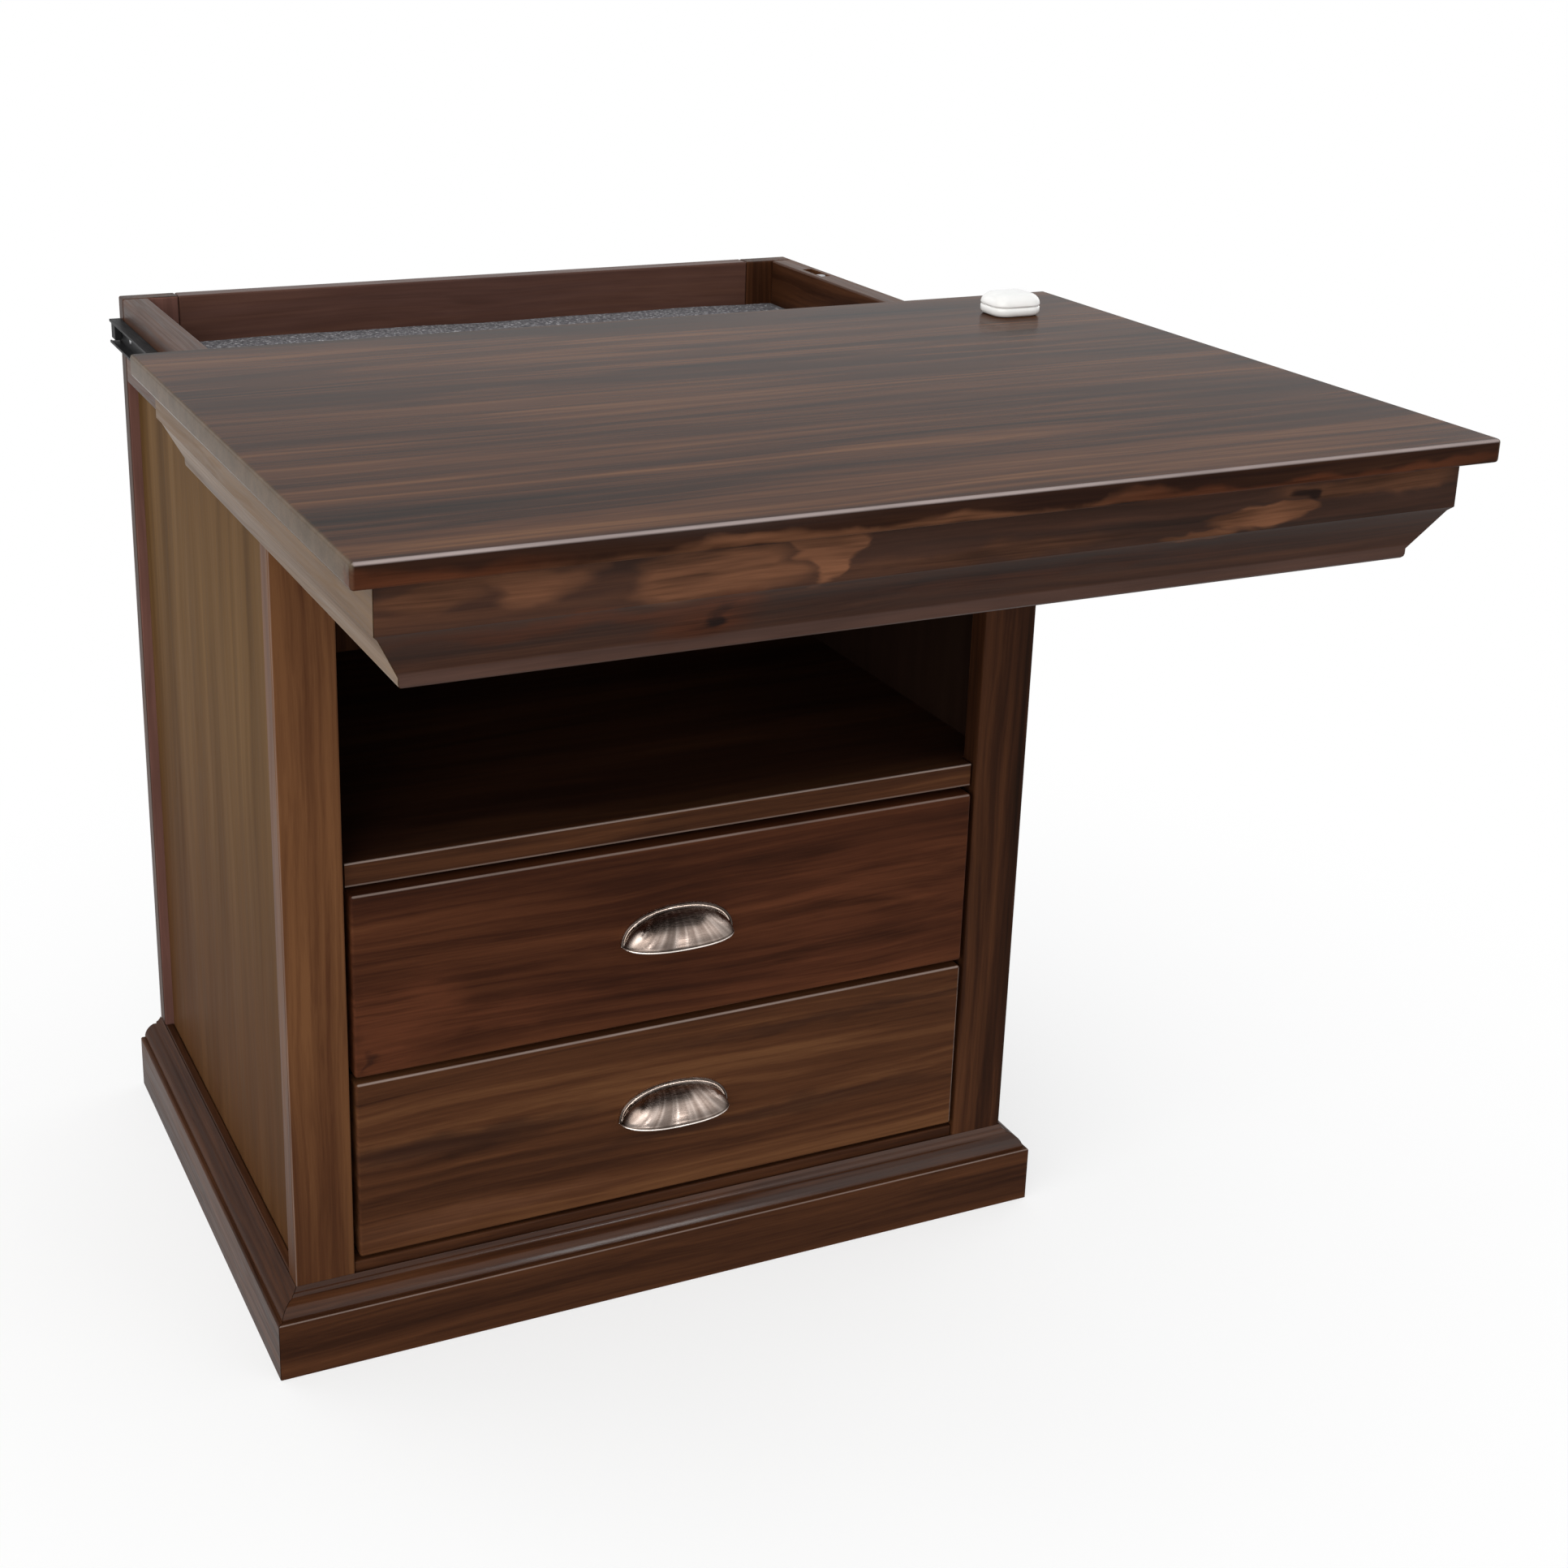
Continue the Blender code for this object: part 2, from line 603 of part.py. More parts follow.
def make_slides(cabinet, lid):
    """Channel, end stop, ball cage and runner on each side, with a cage that runs half as far."""
    runner_end = SLIDE_END - STOP_LENGTH - STOP_OVERRUN
    cage_middle = (SLIDE_FRONT + runner_end - TOP_TRAVEL) / 2
    cage_half = BALL_PITCH * BALLS_PER_RACE / 2
    stop_half = race_level() - RUNNING
    stop_in = SLIDE_WALL + SEAT
    stop_out = CHANNEL_DEPTH - SLIDE_WALL - RUNNING
    for side, sign in (("left", -1), ("right", 1)):
        channel = slide_section(channel_outline(), sign)
        prism(f"{side}_slide_channel", channel, "y", (SLIDE_FRONT, SLIDE_END), "black_steel", cabinet)
        runner = slide_section(runner_outline(), sign)
        prism(f"{side}_slide_runner", runner, "y", (SLIDE_FRONT, runner_end), "black_steel", lid)
        frame = empty(f"{side}_cage_slide", (0, cage_middle, 0), cabinet)
        strip = slide_section(cage_outline(), sign)
        cage = prism(f"{side}_ball_cage", strip, "y", (-cage_half, cage_half), "bright_steel", frame)
        combine(cage, ball_rows(f"{side}_balls", sign, frame), "UNION")
        board(
            f"{side}_slide_stop",
            mirrored(HALF_WIDTH + SEAT + stop_in, HALF_WIDTH + SEAT + stop_out, sign),
            (SLIDE_END - STOP_LENGTH, SLIDE_END + STOP_OVERRUN),
            (SLIDE_LEVEL - stop_half, SLIDE_LEVEL + stop_half),
            "black_plastic",
            cabinet,
            SEAT,
        )


def runner_middle(bottom):
    """Height of the runner's tongue for a drawer whose front starts at this height."""
    return bottom + BOX_LIFT + BOX_HEIGHT / 2


def make_drawer_runners(name, bottom, cabinet):
    """Two hardwood runners, each a cleat on the side panel with a tongue for the drawer's groove."""
    middle = runner_middle(bottom)
    cleat = RUNNER_CLEAT_HEIGHT / 2
    tongue = RUNNER_TONGUE_HEIGHT / 2
    seat = PANEL_INNER - SEAT
    tip = BOX_OUTER - RUNNER_TONGUE_REACH
    half = [(seat, cleat), (OPENING_HALF, cleat), (OPENING_HALF, tongue), (tip, tongue)]
    outline = half + [(x, -z) for x, z in reversed(half)]
    span = (STILE_THICKNESS + SEAT, POST_FRONT - SEAT)
    for side, sign in (("left", -1), ("right", 1)):
        section = [(sign * x, middle + z) for x, z in outline]
        prism(f"{name}_{side}_runner", section, "y", span, "inner_pine", cabinet)


def side_outline(bottom):
    """Section of a drawer's side, with a groove outside for the runner and one inside for the bottom."""
    low = bottom + BOX_LIFT
    high = low + BOX_HEIGHT
    middle = runner_middle(bottom)
    tongue = RUNNER_TONGUE_HEIGHT / 2 + RUNNING
    groove = BOX_OUTER - RUNNER_TONGUE_REACH - RUNNING
    panel_low = low + BOX_BOTTOM_LIFT
    panel_high = panel_low + BOX_BOTTOM_THICKNESS + 2 * SEAT
    slot = BOX_INNER + BOX_GROOVE_DEPTH
    outer = [(BOX_OUTER, high), (BOX_OUTER, middle + tongue), (groove, middle + tongue)]
    outer += [(groove, middle - tongue), (BOX_OUTER, middle - tongue), (BOX_OUTER, low)]
    inner = [(BOX_INNER, low), (BOX_INNER, panel_low), (slot, panel_low)]
    inner += [(slot, panel_high), (BOX_INNER, panel_high), (BOX_INNER, high)]
    return outer + inner


def make_drawer(name, bottom, pull_mesh, drawer):
    """Front, grooved sides, back, bottom and pull of one drawer."""
    front_half = OPENING_HALF - DRAWER_GAP_ACROSS
    board(
        f"{name}_front",
        (-front_half, front_half),
        (-DRAWER_PROUD, DRAWER_FRONT_THICKNESS - DRAWER_PROUD),
        (bottom, bottom + DRAWER_FRONT_HEIGHT),
        "stained_pine",
        drawer,
        DRAWER_EASE,
    )
    box_span = (BOX_FRONT, BOX_FRONT + BOX_DEPTH)
    for side, sign in (("left", -1), ("right", 1)):
        section = [(sign * x, z) for x, z in side_outline(bottom)]
        prism(f"{name}_{side}_side", section, "y", box_span, "inner_pine", drawer)
    panel_low = bottom + BOX_LIFT + BOX_BOTTOM_LIFT + SEAT
    panel_high = panel_low + BOX_BOTTOM_THICKNESS
    panel_half = BOX_INNER + BOX_GROOVE_DEPTH - SEAT
    panel = (panel_low, panel_high)
    board(f"{name}_bottom", (-panel_half, panel_half), box_span, panel, "inner_pine", drawer)
    board(
        f"{name}_back",
        (SEAT - BOX_INNER, BOX_INNER - SEAT),
        (box_span[1] - BOX_WALL, box_span[1]),
        (panel_high + SEAT, bottom + BOX_LIFT + BOX_HEIGHT - BOX_BACK_DROP),
        "inner_pine",
        drawer,
    )
    pull_level = bottom + DRAWER_FRONT_HEIGHT / 2 - PULL_DROP
    place(f"{name}_pull", pull_mesh, drawer, (0, -DRAWER_PROUD - SEAT, pull_level))


def superellipse(t, exponent):
    """The other half-axis share of a superellipse at share t of the first."""
    return (1 - min(abs(t), 1.0) ** exponent) ** (1 / exponent)


def dome_rows(inset):
    """Rows of points from tip to tip, from the pull's back up over its dome to the lip."""
    rise = PULL_HEIGHT - PULL_FLANGE - inset
    depth = PULL_DEPTH - inset
    rows = []
    for j in range(PULL_ROWS + 1):
        turn = math.pi / 2 * j / PULL_ROWS
        half = PULL_WIDTH / 2 - PULL_FLANGE + PULL_LIP_SPREAD * math.sin(turn) - inset
        row = []
        for i in range(1, PULL_STATIONS):
            share = -math.cos(math.pi * i / PULL_STATIONS)
            y = -depth * superellipse(share, PULL_LIP_POWER) * math.sin(turn)
            z = rise * superellipse(share, PULL_ARCH_POWER) * math.cos(turn)
            row.append((half * share, y - BEARING, z))
        rows.append(row)
    return rows


def dome_shell():
    """The pull's cup: an outer and an inner dome, closed along the lip, the back and the tips."""
    shape = bmesh.new()
    loops = dome_rows(0) + dome_rows(PULL_WALL)[::-1]
    grid = [[shape.verts.new(point) for point in row] for row in loops]
    for j in range(len(grid)):
        row, after = grid[j], grid[(j + 1) % len(grid)]
        for i in range(len(row) - 1):
            shape.faces.new((row[i], row[i + 1], after[i + 1], after[i]))
    for end in (0, -1):
        shape.faces.new([row[end] for row in grid])
    return shape


def swept(path, outline_at):
    """A closed solid drawn through rings of points, one for each step of a path."""
    shape = bmesh.new()
    rings = [[shape.verts.new(point) for point in outline_at(step)] for step in path]
    for first, second in zip(rings, rings[1:]):
        for i in range(len(first)):
            j = (i + 1) % len(first)
            shape.faces.new((first[i], first[j], second[j], second[i]))
    shape.faces.new(rings[0])
    shape.faces.new(rings[-1])
    return shape


def flange_shape():
    """The flat rim round the cup, with a rolled bead at its edge and another at the dome's foot."""
    bead = arc((-PULL_BEAD, -PULL_BEAD), (PULL_BEAD, PULL_BEAD), 0, -180, ROUND_STEPS)
    groove = -PULL_FLANGE + PULL_BEAD
    section = [(0, 0), *bead, (groove, -PULL_BEAD / 2), (groove - PULL_BEAD, -2 * PULL_BEAD)]
    section += [(groove - 3 * PULL_BEAD, -2 * PULL_BEAD), (groove - 3 * PULL_BEAD, 0)]

    def ring(step):
        angle = math.pi * step / PULL_ARCH_STEPS
        cosine, sine = math.cos(angle), math.sin(angle)
        points = []
        for r, y in section:
            x = (PULL_WIDTH / 2 + r) * math.copysign(abs(cosine) ** (2 / PULL_ARCH_POWER), cosine)
            z = (PULL_HEIGHT + r) * abs(sine) ** (2 / PULL_ARCH_POWER)
            points.append((x, y, z))
        return points

    return swept(range(PULL_ARCH_STEPS + 1), ring)


def lip_shape():
    """The rolled bead along the cup's lower lip."""
    half = PULL_WIDTH / 2 - PULL_FLANGE + PULL_LIP_SPREAD - PULL_LIP_SINK
    reach = PULL_DEPTH - PULL_LIP_SINK

    def spot(step):
        share = -math.cos(math.pi * step / PULL_STATIONS)
        depth = reach * superellipse(share, PULL_LIP_POWER)
        return half * share, -max(depth, 2 * PULL_BEAD)

    def ring(step):
        x, y = spot(step)
        before, after = spot(max(step - 1, 0)), spot(min(step + 1, PULL_STATIONS))
        along = (after[0] - before[0], after[1] - before[1])
        length = math.hypot(*along)
        across = (-along[1] / length, along[0] / length)
        points = []
        for r, z in arc((0, 0), (PULL_BEAD, PULL_BEAD), 0, 360, PULL_BEAD_SIDES)[:-1]:
            points.append((x + across[0] * r, y + across[1] * r, z))
        return points

    return swept(range(PULL_STATIONS + 1), ring)


def pull_shape():
    """One mesh for both pulls: cup, flange and lip bead joined into one body."""
    cup = add("pull_cup", dome_shell(), "antique_nickel", None)
    helpers = []
    for name, shape in (("pull_flange", flange_shape()), ("pull_lip", lip_shape())):
        helpers.append(add(name, shape, "antique_nickel", None))
        combine(cup, helpers[-1], "UNION")
    bpy.context.view_layer.update()
    evaluated = cup.evaluated_get(bpy.context.evaluated_depsgraph_get())
    mesh = bpy.data.meshes.new_from_object(evaluated)
    mesh.name = "cup_pull"
    for piece in (cup, *helpers):
        bpy.data.objects.remove(piece)
    return mesh


def rounded_ring(inset, z, steps=ROUND_STEPS):
    """A rounded rectangle of the key's outline, drawn in by an inset, at one height."""
    corner = KEY_CORNER - min(inset, KEY_CORNER / 2)
    x = KEY_WIDTH / 2 - inset - corner
    y = KEY_LENGTH / 2 - inset - corner
    points = []
    for quarter, (sx, sy) in enumerate(((1, 1), (-1, 1), (-1, -1), (1, -1))):
        for a, b in arc((sx * x, sy * y), (corner, corner), 90 * quarter, 90 * quarter + 90, steps):
            points.append((a, b, z))
    return points


def make_key(lid):
    """The key's flat base and domed cap, with a seam between them."""
    spot = (TOP_HALF - KEY_FROM_SIDE, CABINET_DEPTH - KEY_FROM_BACK, TOP_TOP + SEAT)
    base = [(2 * EASE, 0), (EASE, EASE / 2), (0, 2 * EASE)]
    base += [(0, KEY_BASE_HEIGHT - EASE / 2), (EASE / 2, KEY_BASE_HEIGHT)]
    add("key_base", swept(base, lambda step: rounded_ring(*step)), "white_plastic", lid, spot)
    bottom = KEY_BASE_HEIGHT + SEAT
    dome = [(EASE / 2, bottom), (0, bottom + EASE / 2)]
    for i in range(ROUND_STEPS + 1):
        turn = math.pi / 2 * i / ROUND_STEPS
        inset = KEY_CORNER * (1 - math.cos(turn))
        dome.append((inset, bottom + EASE + (KEY_CAP_HEIGHT - EASE) * math.sin(turn)))
    add("key_cap", swept(dome, lambda step: rounded_ring(*step)), "white_plastic", lid, spot)


def main():
    for old in list(bpy.data.objects):
        bpy.data.objects.remove(old)
    cabinet = empty("cabinet", (0, -REST_MIDDLE, 0))
    lid = empty("lid", (0, -TOP_TRAVEL, 0), cabinet)
    make_base(cabinet)
    make_frame(cabinet)
    make_floors(cabinet)
    cut_latch_slot(make_compartment(cabinet), cabinet)
    make_lid(lid)
    make_slides(cabinet, lid)
    make_latch(cabinet, lid)
    make_key(lid)
    pull = pull_shape()
    for name, bottom in (("upper_drawer", UPPER_DRAWER), ("lower_drawer", LOWER_DRAWER)):
        make_drawer_runners(name, bottom, cabinet)
        make_drawer(name, bottom, pull, empty(name, (0, 0, 0), cabinet))


main()
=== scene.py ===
"""Looks of the nightstand: stained wood, metal fittings, lined compartment, light and camera."""

import json
import math

import bmesh
import bpy
from mathutils import Matrix, Vector


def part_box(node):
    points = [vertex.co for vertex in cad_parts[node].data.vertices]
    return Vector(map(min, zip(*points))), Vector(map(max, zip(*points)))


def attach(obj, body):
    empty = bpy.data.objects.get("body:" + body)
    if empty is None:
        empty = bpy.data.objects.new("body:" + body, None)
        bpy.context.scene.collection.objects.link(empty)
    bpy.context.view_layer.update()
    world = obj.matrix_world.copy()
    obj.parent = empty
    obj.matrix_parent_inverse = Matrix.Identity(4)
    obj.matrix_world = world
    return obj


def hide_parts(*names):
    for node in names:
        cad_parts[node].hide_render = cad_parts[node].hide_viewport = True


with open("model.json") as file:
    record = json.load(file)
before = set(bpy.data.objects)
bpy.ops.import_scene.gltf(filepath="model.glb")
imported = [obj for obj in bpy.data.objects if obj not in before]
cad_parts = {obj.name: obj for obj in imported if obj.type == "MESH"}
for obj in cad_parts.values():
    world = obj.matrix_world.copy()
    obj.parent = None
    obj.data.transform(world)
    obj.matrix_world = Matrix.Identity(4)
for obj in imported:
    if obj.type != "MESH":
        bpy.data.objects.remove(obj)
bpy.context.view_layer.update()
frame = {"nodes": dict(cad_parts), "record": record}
NODES = frame["nodes"]
BODIES = frame["record"]["behaviour"]["bodies"]
BODY_OF = {node: body for body, members in BODIES.items() for node in members}


# Shader building blocks


def add_node(tree, kind, inputs=None, **settings):
    """A shader node with its settings, and its inputs set to values or linked to sockets."""
    made = tree.nodes.new("ShaderNode" + kind)
    for name, value in settings.items():
        setattr(made, name, value)
    for name, value in (inputs or {}).items():
        if isinstance(value, bpy.types.NodeSocket):
            tree.links.new(value, made.inputs[name])
        else:
            made.inputs[name].default_value = value
    return made


def new_material(name, **values):
    """A material with its Principled shader, whose plain values are set on the sockets."""
    made = bpy.data.materials.new(name)
    made.use_nodes = True
    shader = made.node_tree.nodes["Principled BSDF"]
    for socket, value in values.items():
        shader.inputs[socket.replace("_", " ")].default_value = value
    return made, made.node_tree, shader


def calc(tree, operation, *terms):
    """The result of one sum on numbers."""
    made = add_node(tree, "Math", dict(enumerate(terms)), operation=operation)
    return made.outputs[0]


def vector(tree, operation, first, second=(0, 0, 0)):
    """The result of one sum on vectors."""
    made = add_node(tree, "VectorMath", {0: first, 1: second}, operation=operation)
    return made.outputs["Value" if operation in ("LENGTH", "DOT_PRODUCT") else "Vector"]


def noise(tree, place, scale, detail=2.0, roughness=0.5, colour=False):
    """Noise over a place that is stretched by a scale for each axis."""
    stretched = vector(tree, "MULTIPLY", place, scale)
    inputs = {"Vector": stretched, "Scale": 1.0, "Detail": detail, "Roughness": roughness}
    made = add_node(tree, "TexNoise", inputs)
    return made.outputs["Color" if colour else "Fac"]


def wander(tree, place, scale, reach):
    """A place that noise moves about by up to a reach for each axis."""
    shift = vector(tree, "SUBTRACT", noise(tree, place, scale, colour=True), (0.5, 0.5, 0.5))
    return vector(tree, "ADD", place, vector(tree, "MULTIPLY", shift, reach))


def ramp(tree, value, stops):
    """A colour ramp from (place, colour or grey level) stops."""
    made = add_node(tree, "ValToRGB", {"Fac": value})
    elements = made.color_ramp.elements
    while len(elements) < len(stops):
        elements.new(0.5)
    for element, (place, colour) in zip(elements, stops):
        element.position = place
        element.color = (*colour, 1.0) if isinstance(colour, tuple) else (colour, colour, colour, 1.0)
    return made.outputs["Color"]


def remap(tree, value, low, high, to_low, to_high):
    """A value moved smoothly from one range to another."""
    made = add_node(tree, "MapRange", {0: value, 1: low, 2: high, 3: to_low, 4: to_high})
    made.interpolation_type = "SMOOTHSTEP"
    return made.outputs[0]


def band(tree, value, start, full, fall, end):
    """One between two levels of a value, with a soft rise and fall."""
    rise = remap(tree, value, start, full, 0.0, 1.0)
    return calc(tree, "MULTIPLY", rise, remap(tree, value, fall, end, 1.0, 0.0))


def sway(tree, value, pattern, amount, middle=0.5):
    """A value that a pattern moves up and down by an amount about the pattern's middle."""
    return calc(tree, "ADD", value, calc(tree, "MULTIPLY_ADD", pattern, amount, -middle * amount))


def mix(tree, share, first, second):
    """One colour with a share of another."""
    made = add_node(tree, "Mix", {0: share, 6: first, 7: second}, data_type="RGBA")
    return made.outputs[2]


def tinted(colour, factor):
    """A colour made darker or paler by a factor."""
    return tuple(part * factor for part in colour)


ALONG_TURN = {"x": (0, 0, 0), "y": (0, 0, -math.pi / 2), "z": (0, math.pi / 2, 0)}


def object_place(tree):
    """Places in the shared frame, which stay with a piece when it moves."""
    return add_node(tree, "TexCoord").outputs["Object"]


def along_grain(tree, place, along):
    """Places turned so that X runs along the grain."""
    return add_node(tree, "Mapping", {"Vector": place, "Rotation": ALONG_TURN[along]}).outputs[0]


def add_bump(tree, shader, height, strength, distance=0.0002):
    """Fine relief on a shader."""
    made = add_node(tree, "Bump", {"Height": height, "Strength": strength, "Distance": distance})
    tree.links.new(made.outputs[0], shader.inputs["Normal"])


# Wood: tones from the dark lines of the grain to the pale wood between them

TONE_STOPS = (0.0, 0.35, 0.65, 1.0)
BROWN = (
    (0.0075, 0.0036, 0.0022), (0.030, 0.0112, 0.0055), (0.066, 0.0250, 0.0108), (0.130, 0.0560, 0.0230),
)
RED = (
    (0.0085, 0.0034, 0.0023), (0.033, 0.0105, 0.0050), (0.068, 0.0228, 0.0098), (0.120, 0.0460, 0.0190),
)
# Khaki wood of the side panels and the crown's ends; its grey cast is partly painted sheen
KHAKI_AND_SHEEN = (
    (0.0300, 0.0150, 0.0060), (0.080, 0.0410, 0.0150), (0.125, 0.0680, 0.0270), (0.180, 0.1050, 0.0460),
)
TOP_BROWN = tuple(tinted(tone, 1.15) for tone in BROWN)

# Wood: stretches of the noise for a grain along X, and bends as (stretch, reach)
SEED_STEP = (1.31, 0.77, 0.53)
BOARD_BEND = ((2.4, 12, 12), (0.0, 0.030, 0.030))
FIBRE_BEND = ((14, 70, 70), (0.0, 0.0030, 0.0030))
BAND_STRETCH = (1.7, 30, 30)
STREAK_STRETCH = (3.2, 120, 120)
LINE_STRETCH = (6, 520, 520)
FLECK_STRETCH = (70, 1700, 1700)
FIGURE_STRETCH = (14, 85, 85)
COARSE_RIM = ((20, 55, 55), (0.070, 0.020, 0.020))
FINE_RIM = ((60, 170, 170), (0.012, 0.004, 0.004))

# Wood: growth rings round a pith that lies outside the board
PITH = (0.0, 0.12, -0.09)
RING_STRETCH = (0.03, 1.0, 1.0)
RINGS_PER_METRE = 140.0
LATE_WOOD = [(0.0, 0.0), (0.4, 0.2), (0.85, 1.0), (1.0, 0.0)]
LATE_MIDDLE = 0.4

# Wood: how far each layer of the grain moves the tone
BAND_SWING = 1.6
STREAK_SWING = 1.4
LINE_SWING = 0.28
FLECK_SWING = 0.16

# Wood: how stains and tints follow the grain, with shades as (level of the pattern, factor), and relief
GRAIN_ROUGHNESS = 0.6
FIGURE_LINES = 0.6
MOTTLE_FIGURE = 0.7
MOTTLE_TONE = 0.5
MOTTLE_LEVEL = -0.15
TINT_SHADES = ((0.3, 0.85), (0.7, 1.15))
STAIN_SHADES = ((0.15, 0.40), (0.42, 1.0), (0.70, 1.50))
STAIN_FIBRES = 0.5
FIBRE_RANGE = (0.25, 0.75)
FLECK_RELIEF = 0.5
FIBRE_BUMP = (0.06, 0.0003)


def finer(stretch, factor):
    """A stretch of the grain with finer lines across it."""
    return stretch[0], stretch[1] * factor, stretch[2] * factor


def shaded(tree, pattern, tint, shades):
    """A tint that a pattern makes darker and paler."""
    return ramp(tree, pattern, [(level, tinted(tint, factor)) for level, factor in shades])


def tint_faces(tree, colour, place, figure, faces):
    """A colour with tints that grow outward in some directions, from rows of tint_row and its kin."""
    for outward, start, end, tint, share in faces:
        cover = remap(tree, vector(tree, "DOT_PRODUCT", place, outward), start, end, 0.0, share)
        colour = mix(tree, cover, colour, shaded(tree, figure, tint, TINT_SHADES))
    return colour


def add_stains(tree, colour, place, mottle, lines, stains):
    """A colour with mottled patches, whose rims wander and follow the fibres."""
    rim = wander(tree, wander(tree, place, *COARSE_RIM), *FINE_RIM)
    for centre, half, tint, share, blur in stains:
        gap = vector(tree, "SUBTRACT", rim, centre)
        reach = vector(tree, "LENGTH", vector(tree, "MULTIPLY", gap, tuple(1 / size for size in half)))
        reach = sway(tree, reach, lines, STAIN_FIBRES)
        cover = remap(tree, reach, 1.0 - blur, 1.0 + blur, share, 0.0)
        colour = mix(tree, cover, colour, shaded(tree, mottle, tint, STAIN_SHADES))
    return colour


def wood(name, along, seed, tones=BROWN, level=0.50, broad=0.60, streak=0.50, rings=0.10, fine=1.0,
         gloss=0.03, rough=(0.28, 0.40), stains=(), faces=()):
    """Stained pine: soft bands, streaks and fibres along the board, faint rings and uneven stain."""
    made, tree, shader = new_material(name, Specular_IOR_Level=gloss)
    place = object_place(tree)
    shift = tuple(seed * step for step in SEED_STEP)
    spot = vector(tree, "ADD", along_grain(tree, place, along), shift)
    bent = wander(tree, wander(tree, spot, *BOARD_BEND), *FIBRE_BEND)

    bands = noise(tree, bent, BAND_STRETCH)
    streaks = noise(tree, bent, finer(STREAK_STRETCH, fine), roughness=GRAIN_ROUGHNESS)
    lines = noise(tree, bent, finer(LINE_STRETCH, fine), roughness=GRAIN_ROUGHNESS)
    flecks = noise(tree, spot, FLECK_STRETCH, detail=1.0)
    pith = tuple(moved + part for moved, part in zip(shift, PITH))
    from_pith = vector(tree, "MULTIPLY", vector(tree, "SUBTRACT", bent, pith), RING_STRETCH)
    turns = calc(tree, "MULTIPLY", vector(tree, "LENGTH", from_pith), RINGS_PER_METRE)
    late = ramp(tree, calc(tree, "FRACT", turns), LATE_WOOD)

    tone = sway(tree, level, bands, BAND_SWING * broad)
    tone = sway(tree, tone, streaks, STREAK_SWING * streak)
    tone = sway(tree, tone, lines, LINE_SWING)
    tone = sway(tree, tone, flecks, FLECK_SWING)
    tone = sway(tree, tone, late, -rings, LATE_MIDDLE)
    colour = ramp(tree, tone, list(zip(TONE_STOPS, tones)))
    figure = sway(tree, noise(tree, bent, FIGURE_STRETCH), lines, FIGURE_LINES)
    colour = tint_faces(tree, colour, place, figure, faces)
    mottle = calc(tree, "MULTIPLY_ADD", tone, MOTTLE_TONE, MOTTLE_LEVEL)
    mottle = calc(tree, "MULTIPLY_ADD", figure, MOTTLE_FIGURE, mottle)
    colour = add_stains(tree, colour, place, mottle, lines, stains)

    tree.links.new(colour, shader.inputs["Base Color"])
    tree.links.new(remap(tree, lines, *FIBRE_RANGE, *rough), shader.inputs["Roughness"])
    relief = calc(tree, "ADD", lines, calc(tree, "MULTIPLY", flecks, FLECK_RELIEF))
    add_bump(tree, shader, relief, *FIBRE_BUMP)
    return made


# Metal, plastic and felt

DRAWN_STRETCH = (60, 2600, 2600)
PULL_STRETCH = (60, 1500, 2600)
TARNISH_STRETCH = (45, 90, 90)
SKIN_STRETCH = (900, 900, 900)
CLOUD_STRETCH = (60, 60, 60)
NOISE_RANGE = (0.3, 0.7)
METAL_BUMP = 0.08
SKIN_BUMP = 0.05


def brushed(name, colours, rough, metallic=1.0, gloss=0.5):
    """Metal with fine lines drawn from front to back and a faint patchy tarnish."""
    made, tree, shader = new_material(name, Metallic=metallic, Specular_IOR_Level=gloss)
    grain = along_grain(tree, object_place(tree), "y")
    lines = noise(tree, grain, DRAWN_STRETCH)
    tarnish = noise(tree, grain, TARNISH_STRETCH, detail=3.0)
    tree.links.new(ramp(tree, tarnish, list(zip(NOISE_RANGE, colours))), shader.inputs["Base Color"])
    tree.links.new(remap(tree, lines, *NOISE_RANGE, *rough), shader.inputs["Roughness"])
    add_bump(tree, shader, lines, METAL_BUMP)
    return made


def moulded(name, colours, rough, gloss=0.5):
    """Moulded plastic with a fine grained skin."""
    made, tree, shader = new_material(name, Specular_IOR_Level=gloss)
    place = object_place(tree)
    skin = noise(tree, place, SKIN_STRETCH)
    cloud = noise(tree, place, CLOUD_STRETCH)
    tree.links.new(ramp(tree, cloud, list(zip(NOISE_RANGE, colours))), shader.inputs["Base Color"])
    tree.links.new(remap(tree, skin, *NOISE_RANGE, *rough), shader.inputs["Roughness"])
    add_bump(tree, shader, skin, SKIN_BUMP)
    return made


FELT_FLECK_STRETCH = (420, 420, 420)
FELT_FUZZ_STRETCH = (1500, 1500, 1500)
FELT_SHADES = [(0.34, (0.026, 0.025, 0.029)), (0.48, (0.105, 0.100, 0.108)),
               (0.60, (0.175, 0.168, 0.178)), (0.70, (0.62, 0.61, 0.62))]
FELT_BUMP = (0.6, 0.0010)


def speckled(name):
    """Pressed grey felt with pale and dark flecks."""
    made, tree, shader = new_material(name, Roughness=0.95)
    place = object_place(tree)
    fleck = noise(tree, place, FELT_FLECK_STRETCH, roughness=0.7)
    fuzz = noise(tree, place, FELT_FUZZ_STRETCH)
    tree.links.new(ramp(tree, fleck, FELT_SHADES), shader.inputs["Base Color"])
    add_bump(tree, shader, calc(tree, "ADD", fleck, fuzz), *FELT_BUMP)
    return made
